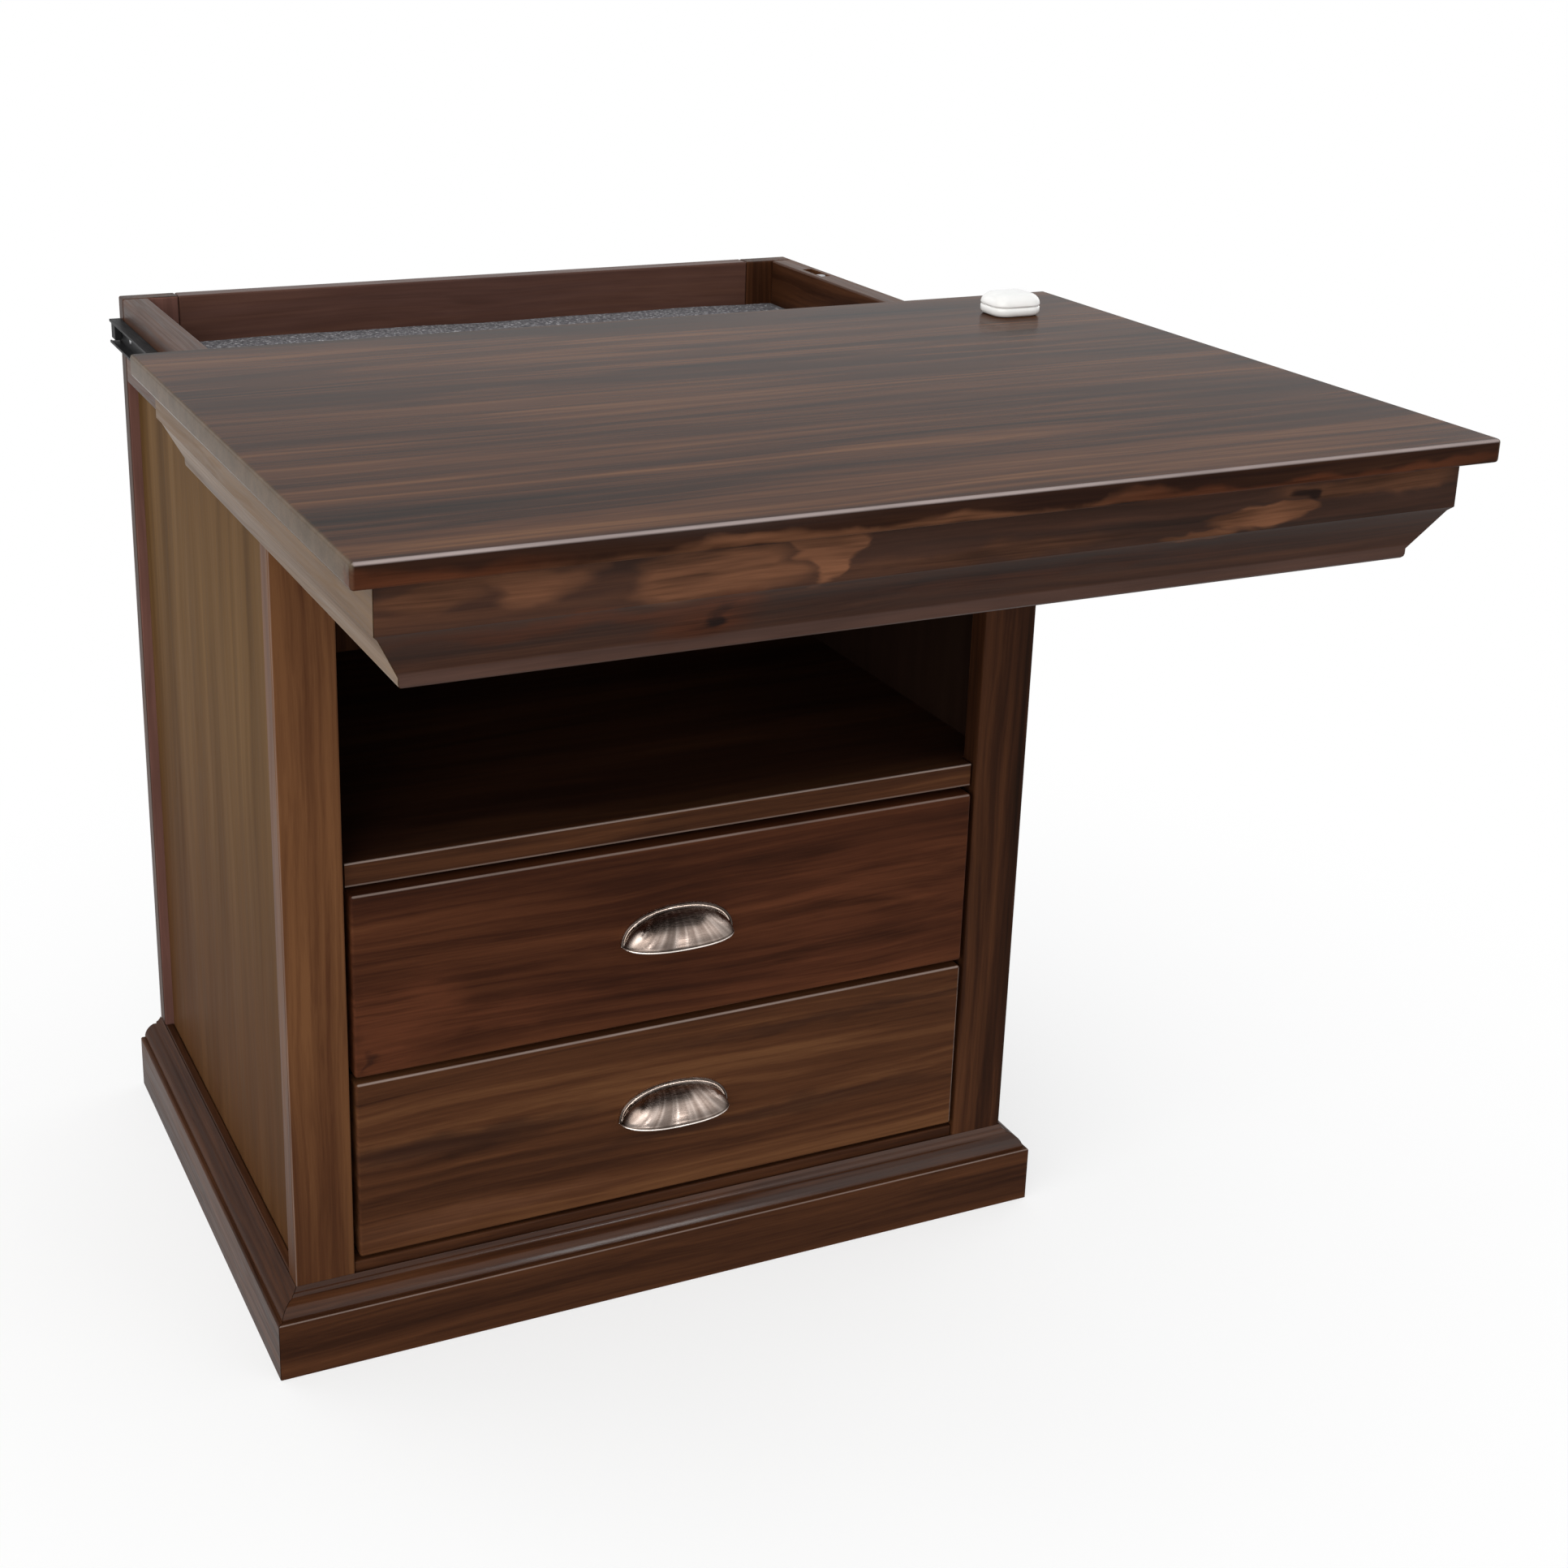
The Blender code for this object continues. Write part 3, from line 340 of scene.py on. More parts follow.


# Nickel of the pulls: colours, and the shares of the drawn lines, of the patina and of the darkening over
# the dome's lower part
SATIN_NICKEL = ((0.20, 0.150, 0.125), (0.34, 0.268, 0.230))
LINE_NICKEL = (0.14, 0.103, 0.085, 1.0)
# Painted highlight in streaks over the dome
PAINTED_STREAK_NICKEL = (0.82, 0.700, 0.630, 1.0)
# Polished beads with a painted highlight
BEAD_POLISH_AND_HIGHLIGHT = (0.88, 0.800, 0.740, 1.0)
PATINA = (0.030, 0.022, 0.018, 1.0)
LINE_SHARE = 0.35
PATINA_SHARE = 0.85
LOW_DOME_DARKENING_SHARE = 0.50
NICKEL_ROUGH = (0.20, 0.30)

# Nickel of the pulls: painted highlight streaks, which fan out from a point above the dome
FAN_ORIGIN_RISE = 0.012
FAN_STRETCH = (4.5, 40, 1)
FAN_RANGE = (0.40, 0.72)
FAN_SHARE = 0.60

# Nickel of the pulls: beads, polished and with a painted highlight, patina, and a darkening over the
# dome's lower part, by their distance from the drawer or height above the lip
RIM_BEAD_OUT = (0.0009, 0.0011)
FOOT_PATINA_OUT = (0.0010, 0.0013, 0.0018, 0.0034)
LIP_BEAD_UP = (0.0010, 0.0013)
LIP_PATINA_UP = (0.0012, 0.0016, 0.0022, 0.0034)
LOW_DOME_DARKENING_UP = (0.0030, 0.0140)


def antique_nickel(name, node):
    """Brushed nickel with painted highlight streaks, bright on its beads from polish and a painted
    highlight, with dark patina round the dome's foot and above its lip, and darker towards the lip.
    """
    made, tree, shader = new_material(name, Metallic=1.0, Anisotropic=0.90)
    low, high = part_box(node)
    place = object_place(tree)
    parts = add_node(tree, "SeparateXYZ", {"Vector": place}).outputs
    out = calc(tree, "SUBTRACT", high.y, parts["Y"])
    up = calc(tree, "SUBTRACT", parts["Z"], low.z)

    lines = noise(tree, place, PULL_STRETCH)
    tarnish = noise(tree, place, TARNISH_STRETCH, detail=3.0)
    satin = ramp(tree, tarnish, list(zip(NOISE_RANGE, SATIN_NICKEL)))
    drawn = mix(tree, remap(tree, lines, *NOISE_RANGE, 0.0, LINE_SHARE), satin, LINE_NICKEL)
    # Painted highlight streaks, which fan down the dome from a point above it
    below_origin = calc(tree, "SUBTRACT", high.z + FAN_ORIGIN_RISE, parts["Z"])
    spread = calc(tree, "DIVIDE", parts["X"], below_origin)
    fan_place = add_node(tree, "CombineXYZ", {"X": spread, "Y": low.z}).outputs[0]
    fan = noise(tree, fan_place, FAN_STRETCH)
    drawn = mix(tree, remap(tree, fan, *FAN_RANGE, 0.0, FAN_SHARE), drawn, PAINTED_STREAK_NICKEL)

    foot = band(tree, out, *FOOT_PATINA_OUT)
    lip = band(tree, up, *LIP_PATINA_UP)
    dark = calc(tree, "MULTIPLY", calc(tree, "MAXIMUM", foot, lip), PATINA_SHARE)
    # Darker towards the lip over the dome's lower part
    dark = calc(tree, "MAXIMUM", dark, remap(tree, up, *LOW_DOME_DARKENING_UP, LOW_DOME_DARKENING_SHARE, 0.0))
    # The beads: polished bright, with a painted highlight
    rim_bead = remap(tree, out, *RIM_BEAD_OUT, 1.0, 0.0)
    lip_bead = remap(tree, up, *LIP_BEAD_UP, 1.0, 0.0)
    raised = calc(tree, "MAXIMUM", rim_bead, lip_bead)
    nickel_colour = mix(tree, raised, mix(tree, dark, drawn, PATINA), BEAD_POLISH_AND_HIGHLIGHT)

    tree.links.new(nickel_colour, shader.inputs["Base Color"])
    tree.links.new(remap(tree, lines, *NOISE_RANGE, *NICKEL_ROUGH), shader.inputs["Roughness"])
    add_bump(tree, shader, lines, METAL_BUMP)
    over_dome = add_node(tree, "Tangent", direction_type="RADIAL", axis="X")
    tree.links.new(over_dome.outputs[0], shader.inputs["Tangent"])
    return made


BLACK_STEEL = brushed("black_steel", ((0.009, 0.009, 0.010), (0.020, 0.020, 0.021)), (0.34, 0.48),
                      metallic=0.0, gloss=0.03)
ZINC = brushed("zinc_steel", ((0.34, 0.34, 0.35), (0.50, 0.50, 0.51)), (0.32, 0.46))
BLACK_PLASTIC = moulded("black_plastic", ((0.010, 0.010, 0.010), (0.016, 0.016, 0.017)), (0.42, 0.56),
                        gloss=0.05)
WHITE_PLASTIC = moulded("white_plastic", ((0.82, 0.815, 0.80), (0.87, 0.865, 0.85)), (0.16, 0.26))
FELT = speckled("speckled_felt")


# Tints and stains of the wood, placed from the nodes' boxes; some tints are painted shade, painted
# highlight or painted sheen

ORANGE = (0.132, 0.0560, 0.0285)
RUST = (0.085, 0.0270, 0.0120)
# Dark tint: stain for knots and marks, darkening of the top board's front edge, and painted shade on the
# cubby shelf and the side panels' inner faces
DARK_STAIN_AND_SHADE = (0.0120, 0.0060, 0.0048)
# Painted highlight along the top board's front arris
TOP_ARRIS_HIGHLIGHT = (0.420, 0.350, 0.335)
# Painted highlight along eased edges
EDGE_HIGHLIGHT_TINT = (0.300, 0.235, 0.205)
# Even tone of the top board's end grain, its grey partly painted sheen
END_GRAIN_AND_SHEEN = (0.108, 0.080, 0.056)
# Painted sheen veiling the crown's front
CROWN_PAINTED_SHEEN = (0.078, 0.050, 0.042)
CROWN_FOOT = (0.070, 0.040, 0.032)
# Painted sheen veiling the compartment's back board
BACK_PAINTED_SHEEN = (0.088, 0.048, 0.041)
# Painted light on the back left post's front face, which lies in shade beside the compartment's left wall
POST_FACE_PAINTED_LIGHT = (0.150, 0.072, 0.058)
EDGE_HIGHLIGHT_BAND = (0.65, 0.48)
BELOW_FLOOR = (-2.0, -1.0)


def tint_row(node, sides, deep, shallow, tint, share):
    """A tint on the outermost part of a node, which grows from one depth below its corner to another."""
    low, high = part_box(node)
    outward = Vector(sides).normalized()
    corner = sum(part * (top if part > 0 else bottom) for part, bottom, top in zip(outward, low, high))
    return tuple(outward), corner - deep, corner - shallow, tint, share


def painted_edge_highlight(node, sides, ease, share):
    """A painted highlight along the middle of a node's eased edge between two of its sides."""
    deep, shallow = (part * ease for part in EDGE_HIGHLIGHT_BAND)
    return tint_row(node, sides, deep, shallow, EDGE_HIGHLIGHT_TINT, share)


def behind_front(node, start, end, tint, share):
    """A tint on all of a node that lies behind its front."""
    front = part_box(node)[0].y
    return (0, 1, 0), front + start, front + end, tint, share


def veil(tint, share):
    """A tint over the whole of a node, full grown already below the floor."""
    return (0, 0, 1), *BELOW_FLOOR, tint, share


def front_stains(node, rows, behind=0.0, half_depth=0.05):
    """Patches on a node's front: across, up from its foot, half sizes, tint, share and blur of the rim."""
    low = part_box(node)[0]
    stains = []
    for across, up, half_across, half_up, tint, share, blur in rows:
        centre = (across, low.y + behind, low.z + up)
        stains.append((centre, (half_across, half_depth, half_up), tint, share, blur))
    return stains


CROWN_FACE_STAINS = front_stains("crown_front", (
    (-0.279, 0.0500, 0.026, 0.0090, tinted(ORANGE, 0.80), 0.75, 0.36),
    (-0.229, 0.0505, 0.024, 0.0090, ORANGE, 0.70, 0.34),
    (-0.140, 0.0465, 0.038, 0.0150, ORANGE, 0.75, 0.30),
    (-0.082, 0.0485, 0.016, 0.0135, tinted(ORANGE, 1.1), 0.85, 0.18),
    (-0.090, 0.0585, 0.070, 0.0022, tinted(ORANGE, 1.2), 0.75, 0.36),
    (0.020, 0.0390, 0.070, 0.0040, tinted(ORANGE, 0.55), 0.60, 0.45),
    (0.140, 0.0355, 0.028, 0.0035, ORANGE, 0.85, 0.18),
    (0.180, 0.0420, 0.028, 0.0060, tinted(ORANGE, 1.1), 0.85, 0.18),
    (0.250, 0.0520, 0.060, 0.0060, tinted(ORANGE, 0.85), 0.80, 0.34),
    (0.206, 0.0505, 0.006, 0.0035, DARK_STAIN_AND_SHADE, 0.90, 0.40),
))
CROWN_SLOPE_STAINS = front_stains("crown_front", (
    (-0.141, 0.0200, 0.030, 0.0110, tinted(RUST, 0.8), 0.80, 0.50),
    (-0.141, 0.0200, 0.009, 0.0055, DARK_STAIN_AND_SHADE, 0.95, 0.40),
    (-0.220, 0.0260, 0.080, 0.0040, tinted(RUST, 0.8), 0.65, 0.60),
    (0.060, 0.0230, 0.140, 0.0050, tinted(RUST, 0.6), 0.55, 0.60),
), behind=0.00875)
TOP_EDGE_STAINS = front_stains("top_board", (
    (-0.290, 0.0035, 0.060, 0.0050, tinted(RUST, 0.65), 0.80, 0.60),
    (-0.060, 0.0020, 0.160, 0.0034, tinted(ORANGE, 0.70), 0.85, 0.60),
    (0.200, 0.0020, 0.130, 0.0032, tinted(RUST, 0.75), 0.75, 0.60),
), behind=0.00075, half_depth=0.01)
UPPER_DRAWER_STAINS = front_stains("upper_drawer_front", (
    (-0.195, 0.0465, 0.045, 0.0200, RUST, 0.65, 0.35),
    (-0.205, 0.0165, 0.035, 0.0180, RUST, 0.65, 0.40),
    (-0.135, 0.0285, 0.070, 0.0110, tinted(RUST, 0.9), 0.55, 0.40),
    (-0.216, 0.0115, 0.003, 0.0060, DARK_STAIN_AND_SHADE, 0.55, 0.70),
    (0.140, 0.0585, 0.120, 0.0700, tinted(RUST, 1.1), 0.40, 0.60),
))
LOWER_DRAWER_STAINS = front_stains("lower_drawer_front", (
    (-0.160, 0.0715, 0.085, 0.0075, DARK_STAIN_AND_SHADE, 0.60, 0.65),
    (0.060, 0.0435, 0.130, 0.0050, DARK_STAIN_AND_SHADE, 0.45, 0.65),
    (0.120, 0.1095, 0.110, 0.0045, DARK_STAIN_AND_SHADE, 0.40, 0.65),
    (-0.150, 0.0165, 0.090, 0.0060, tinted(ORANGE, 0.65), 0.40, 0.60),
))

DRAWER_EASE = 0.0020
SHELF_EASE = 0.0014
BOARD_EASE = 0.0012
# The top board: darker along its front edge, a painted highlight on its front arris, and its end grain
# evened out, its grey partly painted sheen
TOP_TINTS = (
    tint_row("top_board", (0, -1, 0), 0.00275, 0.00075, tinted(DARK_STAIN_AND_SHADE, 0.9), 0.80),
    tint_row("top_board", (0, -1, 1), 0.00149, 0.00099, TOP_ARRIS_HIGHLIGHT, 0.60),
    tint_row("top_board", (-1, 0, 0), 0.0025, 0.0005, END_GRAIN_AND_SHEEN, 0.85),
    tint_row("top_board", (1, 0, 0), 0.0025, 0.0005, END_GRAIN_AND_SHEEN, 0.85),
)
# The crown: painted sheen over its front, and a tint on its foot
CROWN_TINTS = (
    veil(CROWN_PAINTED_SHEEN, 0.18),
    tint_row("crown_front", (0, 0, -1), 0.0095, 0.0075, CROWN_FOOT, 0.70),
)
# The left stile: darker towards the floor, and a painted highlight on its left front edge
LEFT_STILE_TINTS = (
    tint_row("front_left_stile", (0, 0, -1), 0.26, 0.04, tinted(BROWN[2], 0.75), 0.45),
    painted_edge_highlight("front_left_stile", (-1, -1, 0), BOARD_EASE, 0.30),
)
# The shelf: painted shade over all of it behind its front edge, and painted highlights on its front edges
SHELF_TINTS = (
    behind_front("cubby_shelf", 0.00025, 0.00725, DARK_STAIN_AND_SHADE, 0.55),
    painted_edge_highlight("cubby_shelf", (0, -1, 1), SHELF_EASE, 0.60),
    painted_edge_highlight("cubby_shelf", (0, -1, -1), SHELF_EASE, 0.30),
)
# The lower drawer: painted highlights on its top and right front edges
LOWER_DRAWER_TINTS = (
    painted_edge_highlight("lower_drawer_front", (0, -1, 1), DRAWER_EASE, 0.65),
    painted_edge_highlight("lower_drawer_front", (1, -1, 0), DRAWER_EASE, 0.40),
)


def side_wood(side, seed, inward):
    """A side panel: plain khaki wood with a painted sheen that gives way to brown towards the floor, and
    painted shade on its inner face.
    """
    node = f"{side}_side_panel"
    tints = (tint_row(node, (0, 0, -1), 0.48, 0.10, BROWN[2], 0.68),
             tint_row(node, inward, 0.009, 0.003, DARK_STAIN_AND_SHADE, 0.95))
    return wood(f"wood_{side}_side", "z", seed, KHAKI_AND_SHEEN, level=0.57, streak=0.30, rings=0.0, gloss=0.004,
                rough=(0.34, 0.46), faces=tints)


WOODS = {
    "top_board": wood("wood_top", "x", 1, TOP_BROWN, level=0.51, broad=0.85, streak=0.80, fine=1.4,
                      gloss=0.014, rough=(0.15, 0.21), stains=TOP_EDGE_STAINS, faces=TOP_TINTS),
    "crown_front": wood("wood_crown_front", "x", 2, level=0.36, faces=CROWN_TINTS,
                        stains=CROWN_FACE_STAINS + CROWN_SLOPE_STAINS),
    # The crown's ends: khaki wood whose grey cast is partly painted sheen
    "crown_left": wood("wood_crown_left", "y", 3, KHAKI_AND_SHEEN, level=0.60, gloss=0.06),
    "crown_right": wood("wood_crown_right", "y", 4, KHAKI_AND_SHEEN, level=0.60, gloss=0.06),
    "front_left_stile": wood("wood_left_stile", "z", 5, level=0.80, faces=LEFT_STILE_TINTS),
    "front_right_stile": wood("wood_right_stile", "z", 6, level=0.37),
    # Painted light on the post's front face, which lies in shade
    "back_left_post": wood("wood_back_left_post", "z", 7, level=0.40, faces=(
        tint_row("back_left_post", (0, -1, 0), 0.0006, 0.0002, POST_FACE_PAINTED_LIGHT, 0.85),)),
    "back_right_post": wood("wood_back_right_post", "z", 8),
    "left_side_panel": side_wood("left", 9, (1, 0, 0)),
    "right_side_panel": side_wood("right", 10, (-1, 0, 0)),
    "left_bottom_rail": wood("wood_left_rail", "y", 11),
    "right_bottom_rail": wood("wood_right_rail", "y", 12),
    "front_top_rail": wood("wood_top_rail", "x", 13),
    "front_bottom_rail": wood("wood_bottom_rail", "x", 14, level=0.36),
    "back_bottom_rail": wood("wood_back_rail", "x", 15),
    "cubby_shelf": wood("wood_shelf", "x", 16, faces=SHELF_TINTS),
    "compartment_left_wall": wood("wood_left_wall", "y", 17, level=0.56, gloss=0.05),
    "compartment_right_wall": wood("wood_right_wall", "y", 18, gloss=0.05),
    # The compartment's back board: painted sheen over all of it
    "compartment_back_board": wood("wood_compartment_back", "x", 19, RED, level=0.70, gloss=0.05,
                                   faces=(veil(BACK_PAINTED_SHEEN, 0.60),)),
    "compartment_floor": wood("wood_compartment_floor", "x", 20, RED),
    # The upper drawer: stains, and a painted highlight on its top front edge
    "upper_drawer_front": wood("wood_upper_drawer", "x", 21, RED, level=0.43, streak=0.45,
                               stains=UPPER_DRAWER_STAINS,
                               faces=(painted_edge_highlight("upper_drawer_front", (0, -1, 1), DRAWER_EASE, 0.50),)),
    "lower_drawer_front": wood("wood_lower_drawer", "x", 22, level=0.67, stains=LOWER_DRAWER_STAINS,
                               faces=LOWER_DRAWER_TINTS),
    # The plinth's front: a painted highlight on its top front edge
    "plinth_front": wood("wood_plinth_front", "x", 23, level=0.46,
                         faces=(painted_edge_highlight("plinth_front", (0, -1, 1), BOARD_EASE, 0.45),)),
    "plinth_left": wood("wood_plinth_left", "y", 24, level=0.40),
    "plinth_right": wood("wood_plinth_right", "y", 25, level=0.46),
    "base_cap_front": wood("wood_cap_front", "x", 26, level=0.46, gloss=0.22, rough=(0.14, 0.22)),
    "base_cap_left": wood("wood_cap_left", "y", 27, level=0.42, rough=(0.26, 0.36)),
    "base_cap_right": wood("wood_cap_right", "y", 28, level=0.42, rough=(0.26, 0.36)),
    "back_panel": wood("wood_back_panel", "z", 29),
    "bottom_panel": wood("wood_bottom_panel", "x", 30, RED),
}
LID_RAIL_SEED = 31
for step, (side, along) in enumerate((("front", "x"), ("left", "y"), ("right", "y"))):
    WOODS[f"lid_rail_{side}"] = wood(f"wood_lid_rail_{side}", along, LID_RAIL_SEED + step)
DRAWER_SEED = 40
DRAWER_BOARDS = (("left_side", "y"), ("right_side", "y"), ("back", "x"), ("bottom", "x"),
                 ("left_runner", "y"), ("right_runner", "y"))
for count, drawer in enumerate(("upper_drawer", "lower_drawer")):
    for step, (piece, along) in enumerate(DRAWER_BOARDS):
        name = f"{drawer}_{piece}"
        WOODS[name] = wood(f"wood_{name}", along, DRAWER_SEED + len(DRAWER_BOARDS) * count + step, RED)

OTHERS = {
    "left_slide_channel": BLACK_STEEL, "right_slide_channel": BLACK_STEEL,
    "left_slide_runner": BLACK_STEEL, "right_slide_runner": BLACK_STEEL,
    "left_ball_cage": ZINC, "right_ball_cage": ZINC,
    "latch_rocker": ZINC, "latch_strike": ZINC,
    "left_slide_stop": BLACK_PLASTIC, "right_slide_stop": BLACK_PLASTIC,
    "key_base": WHITE_PLASTIC, "key_cap": WHITE_PLASTIC,
    "upper_drawer_pull": antique_nickel("upper_nickel", "upper_drawer_pull"),
    "lower_drawer_pull": antique_nickel("lower_nickel", "lower_drawer_pull"),
    "compartment_liner": FELT,
}
for name, node in NODES.items():
    node.data.materials.clear()
    node.data.materials.append(WOODS.get(name) or OTHERS[name])


# Pieces


def add_piece(name, shape, sharp_angle, body, material):
    """An object made of a bmesh, smooth below an angle, that rides on a body."""
    mesh = bpy.data.meshes.new(name)
    shape.to_mesh(mesh)
    shape.free()
    mesh.shade_smooth()
    mesh.set_sharp_from_angle(angle=math.radians(sharp_angle))
    mesh.materials.clear()
    mesh.materials.append(material)
    piece = bpy.data.objects.new(name, mesh)
    bpy.context.scene.collection.objects.link(piece)
    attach(piece, body)
    return piece


WELD_DISTANCE = 0.00001
FLAT_ANGLE = 1
BOARD_SHARP = 50
MOULDING_SHARP = 32
PULL_SHARP = 38
KEY_SHARP = 60
CAGE_SHARP = 50


def smooth_copy(node, sharp_angle, flat_faces=False):
    """Stands for a curved node: its own faces welded together and shaded smooth below an angle."""
    shape = bmesh.new()
    shape.from_mesh(NODES[node].data)
    bmesh.ops.remove_doubles(shape, verts=shape.verts, dist=WELD_DISTANCE)
    bmesh.ops.dissolve_limit(shape, angle_limit=math.radians(FLAT_ANGLE), verts=shape.verts,
                             edges=shape.edges)
    material = NODES[node].data.materials[0]
    piece = add_piece(node + "_smooth", shape, sharp_angle, BODY_OF[node], material)
    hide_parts(node)
    if flat_faces:
        weighted = piece.modifiers.new("weighted", "WEIGHTED_NORMAL")
        weighted.keep_sharp = True


for node in ("top_board", "upper_drawer_front", "lower_drawer_front"):
    smooth_copy(node, BOARD_SHARP, flat_faces=True)
for kind in ("crown", "base_cap"):
    for side in ("front", "left", "right"):
        smooth_copy(f"{kind}_{side}", MOULDING_SHARP)
for node in ("upper_drawer_pull", "lower_drawer_pull"):
    smooth_copy(node, PULL_SHARP)
for node in ("key_base", "key_cap"):
    smooth_copy(node, KEY_SHARP)
for node in ("left_ball_cage", "right_ball_cage"):
    smooth_copy(node, CAGE_SHARP)

PAD_COLUMNS = 60
PAD_ROWS = 44
PAD_SHARP = 50
PAD_SINK = 0.0007
PAD_ROUND = 0.0022
PAD_ROUND_REACH = 0.004
PAD_WAVE = 0.0004


def pad_height(x, y, low, high):
    """Height of the felt's top: rounded off at the rim, with slow waves."""
    rim = min(x - low.x, high.x - x, y - low.y, high.y - y)
    round_off = PAD_ROUND * math.exp(-rim / PAD_ROUND_REACH)
    long_wave = math.sin(23 * x + 1.3) * math.sin(31 * y + 0.4)
    cross_wave = 0.6 * math.sin(57 * x - 41 * y)
    return high.z - PAD_SINK - round_off + PAD_WAVE * (long_wave + cross_wave)


def lined_floor():
    """The compartment's felt pad: rounded at its rim and a little uneven on top."""
    low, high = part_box("compartment_liner")
    shape = bmesh.new()
    grid = []
    for j in range(PAD_ROWS + 1):
        y = low.y + (high.y - low.y) * j / PAD_ROWS
        across = [low.x + (high.x - low.x) * i / PAD_COLUMNS for i in range(PAD_COLUMNS + 1)]
        grid.append([shape.verts.new((x, y, pad_height(x, y, low, high))) for x in across])
    for near, far in zip(grid, grid[1:]):
        for i in range(PAD_COLUMNS):
            shape.faces.new((near[i], near[i + 1], far[i + 1], far[i]))
    rim = [edge for edge in shape.edges if edge.is_boundary]
    skirt = bmesh.ops.extrude_edge_only(shape, edges=rim)["geom"]
    for part in skirt:
        if isinstance(part, bmesh.types.BMVert):
            part.co.z = low.z
    foot = [edge for edge in shape.edges if edge.is_boundary]
    bmesh.ops.contextual_create(shape, geom=foot)
    bmesh.ops.recalc_face_normals(shape, faces=shape.faces)
    pad = add_piece("felt_pad", shape, PAD_SHARP, "cabinet", FELT)
    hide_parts("compartment_liner")


lined_floor()

SCREW_SIDES = 24
SCREW_SHARP = 40
SCREW_PROFILE = [(1.0, 0.0), (0.96, 0.35), (0.80, 0.75), (0.55, 0.95), (0.32, 1.0)]
RECESS_SHARE = 0.6
RECESS_SLIMNESS = 6
RECESS_DEPTH = 0.55
RECESS_FLOOR = 0.3


def screw_head(name, spot, facing, size, body, material):
    """A screw's low domed head with a cross recess, of a radius and a rise."""
    radius, rise = size
    shape = bmesh.new()
    angles = [2 * math.pi * i / SCREW_SIDES for i in range(SCREW_SIDES)]
    rings = []
    for share, lift in SCREW_PROFILE:
        ring = []
        for angle in angles:
            cross = abs(math.cos(2 * angle)) ** RECESS_SLIMNESS if share < RECESS_SHARE else 0.0
            x = radius * share * math.cos(angle)
            y = radius * share * math.sin(angle)
            ring.append(shape.verts.new((x, y, rise * (lift - RECESS_DEPTH * cross))))
        rings.append(ring)
    for first, second in zip(rings, rings[1:]):
        for i in range(SCREW_SIDES):
            j = (i + 1) % SCREW_SIDES
            shape.faces.new((first[i], first[j], second[j], second[i]))
    centre = shape.verts.new((0, 0, rise * RECESS_FLOOR))
    for i in range(SCREW_SIDES):
        shape.faces.new((rings[-1][i], rings[-1][(i + 1) % SCREW_SIDES], centre))
    shape.faces.new(rings[0][::-1])
    turn = Vector((0, 0, 1)).rotation_difference(Vector(facing)).to_matrix().to_4x4()
    bmesh.ops.transform(shape, matrix=Matrix.Translation(spot) @ turn, verts=shape.verts)
    add_piece(name, shape, SCREW_SHARP, body, material)


SLIDE_SCREW = (0.0030, 0.0004)
PULL_SCREW = (0.0042, 0.0022)
BACK_SCREW = (0.0034, 0.0014)
SLIDE_WEB = 0.0012
SLIDE_SCREWS = (0.08, 0.36, 0.64, 0.90)
SLIDE_SCREW_LIFT = 0.00005
PULL_SCREWS = (-0.39, 0.39)
PULL_SCREW_HEIGHT = 0.4
BACK_SCREWS = 6
BACK_SCREW_INSET = 0.012
BACK_SCREW_MARGIN = 0.03


def slide_screws(side, sign):
    """Screws through the web of a slide's channel into the compartment's wall."""
    low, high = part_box(f"{side}_slide_channel")
    face = high.x - SLIDE_WEB if sign < 0 else low.x + SLIDE_WEB
    for i, share in enumerate(SLIDE_SCREWS):
        y = low.y + (high.y - low.y) * share
        spot = (face + sign * SLIDE_SCREW_LIFT, y, (low.z + high.z) / 2)
        name = f"{side}_slide_screw_{i}"
        screw_head(name, spot, (sign, 0, 0), SLIDE_SCREW, "cabinet", ZINC)


def pull_screws(drawer):
    """Screws behind a drawer's front that hold its pull."""
    inner_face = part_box(f"{drawer}_front")[1].y
    low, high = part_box(f"{drawer}_pull")
    for i, share in enumerate(PULL_SCREWS):
        spot = (share * (high.x - low.x), inner_face, low.z + PULL_SCREW_HEIGHT * (high.z - low.z))
        name = f"{drawer}_pull_screw_{i}"
        screw_head(name, spot, (0, 1, 0), PULL_SCREW, drawer, ZINC)


def back_screws():
    """Screws down both edges of the back panel."""
    low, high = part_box("back_panel")
    span = high.z - low.z - 2 * BACK_SCREW_MARGIN
    for i in range(BACK_SCREWS):
        height = low.z + BACK_SCREW_MARGIN + span * i / (BACK_SCREWS - 1)
        for side, x in (("left", low.x + BACK_SCREW_INSET), ("right", high.x - BACK_SCREW_INSET)):
            name = f"back_panel_{side}_screw_{i}"
            spot = (x, high.y, height)
            screw_head(name, spot, (0, 1, 0), BACK_SCREW, "cabinet", BLACK_STEEL)


slide_screws("left", -1)
slide_screws("right", 1)
pull_screws("upper_drawer")
pull_screws("lower_drawer")
back_screws()


# Stage, light and camera

FLOOR_RADIUS = 60
FLOOR_SIDES = 64
FLOOR_CLOUD = (3, 3, 3)
FLOOR_WHITES = (0.92, 0.95)
FLOOR_DROP = 0.0005
SHADOW_REACH = (0.20, 1.10)
SHADOW_WHITE = 0.60
FLOOR_GREY = 0.24
SURROUND_COLOUR = (0.95, 0.98, 1.0, 1.0)
SURROUND_STRENGTH = 0.60
WHITE = (1, 1, 1, 1)


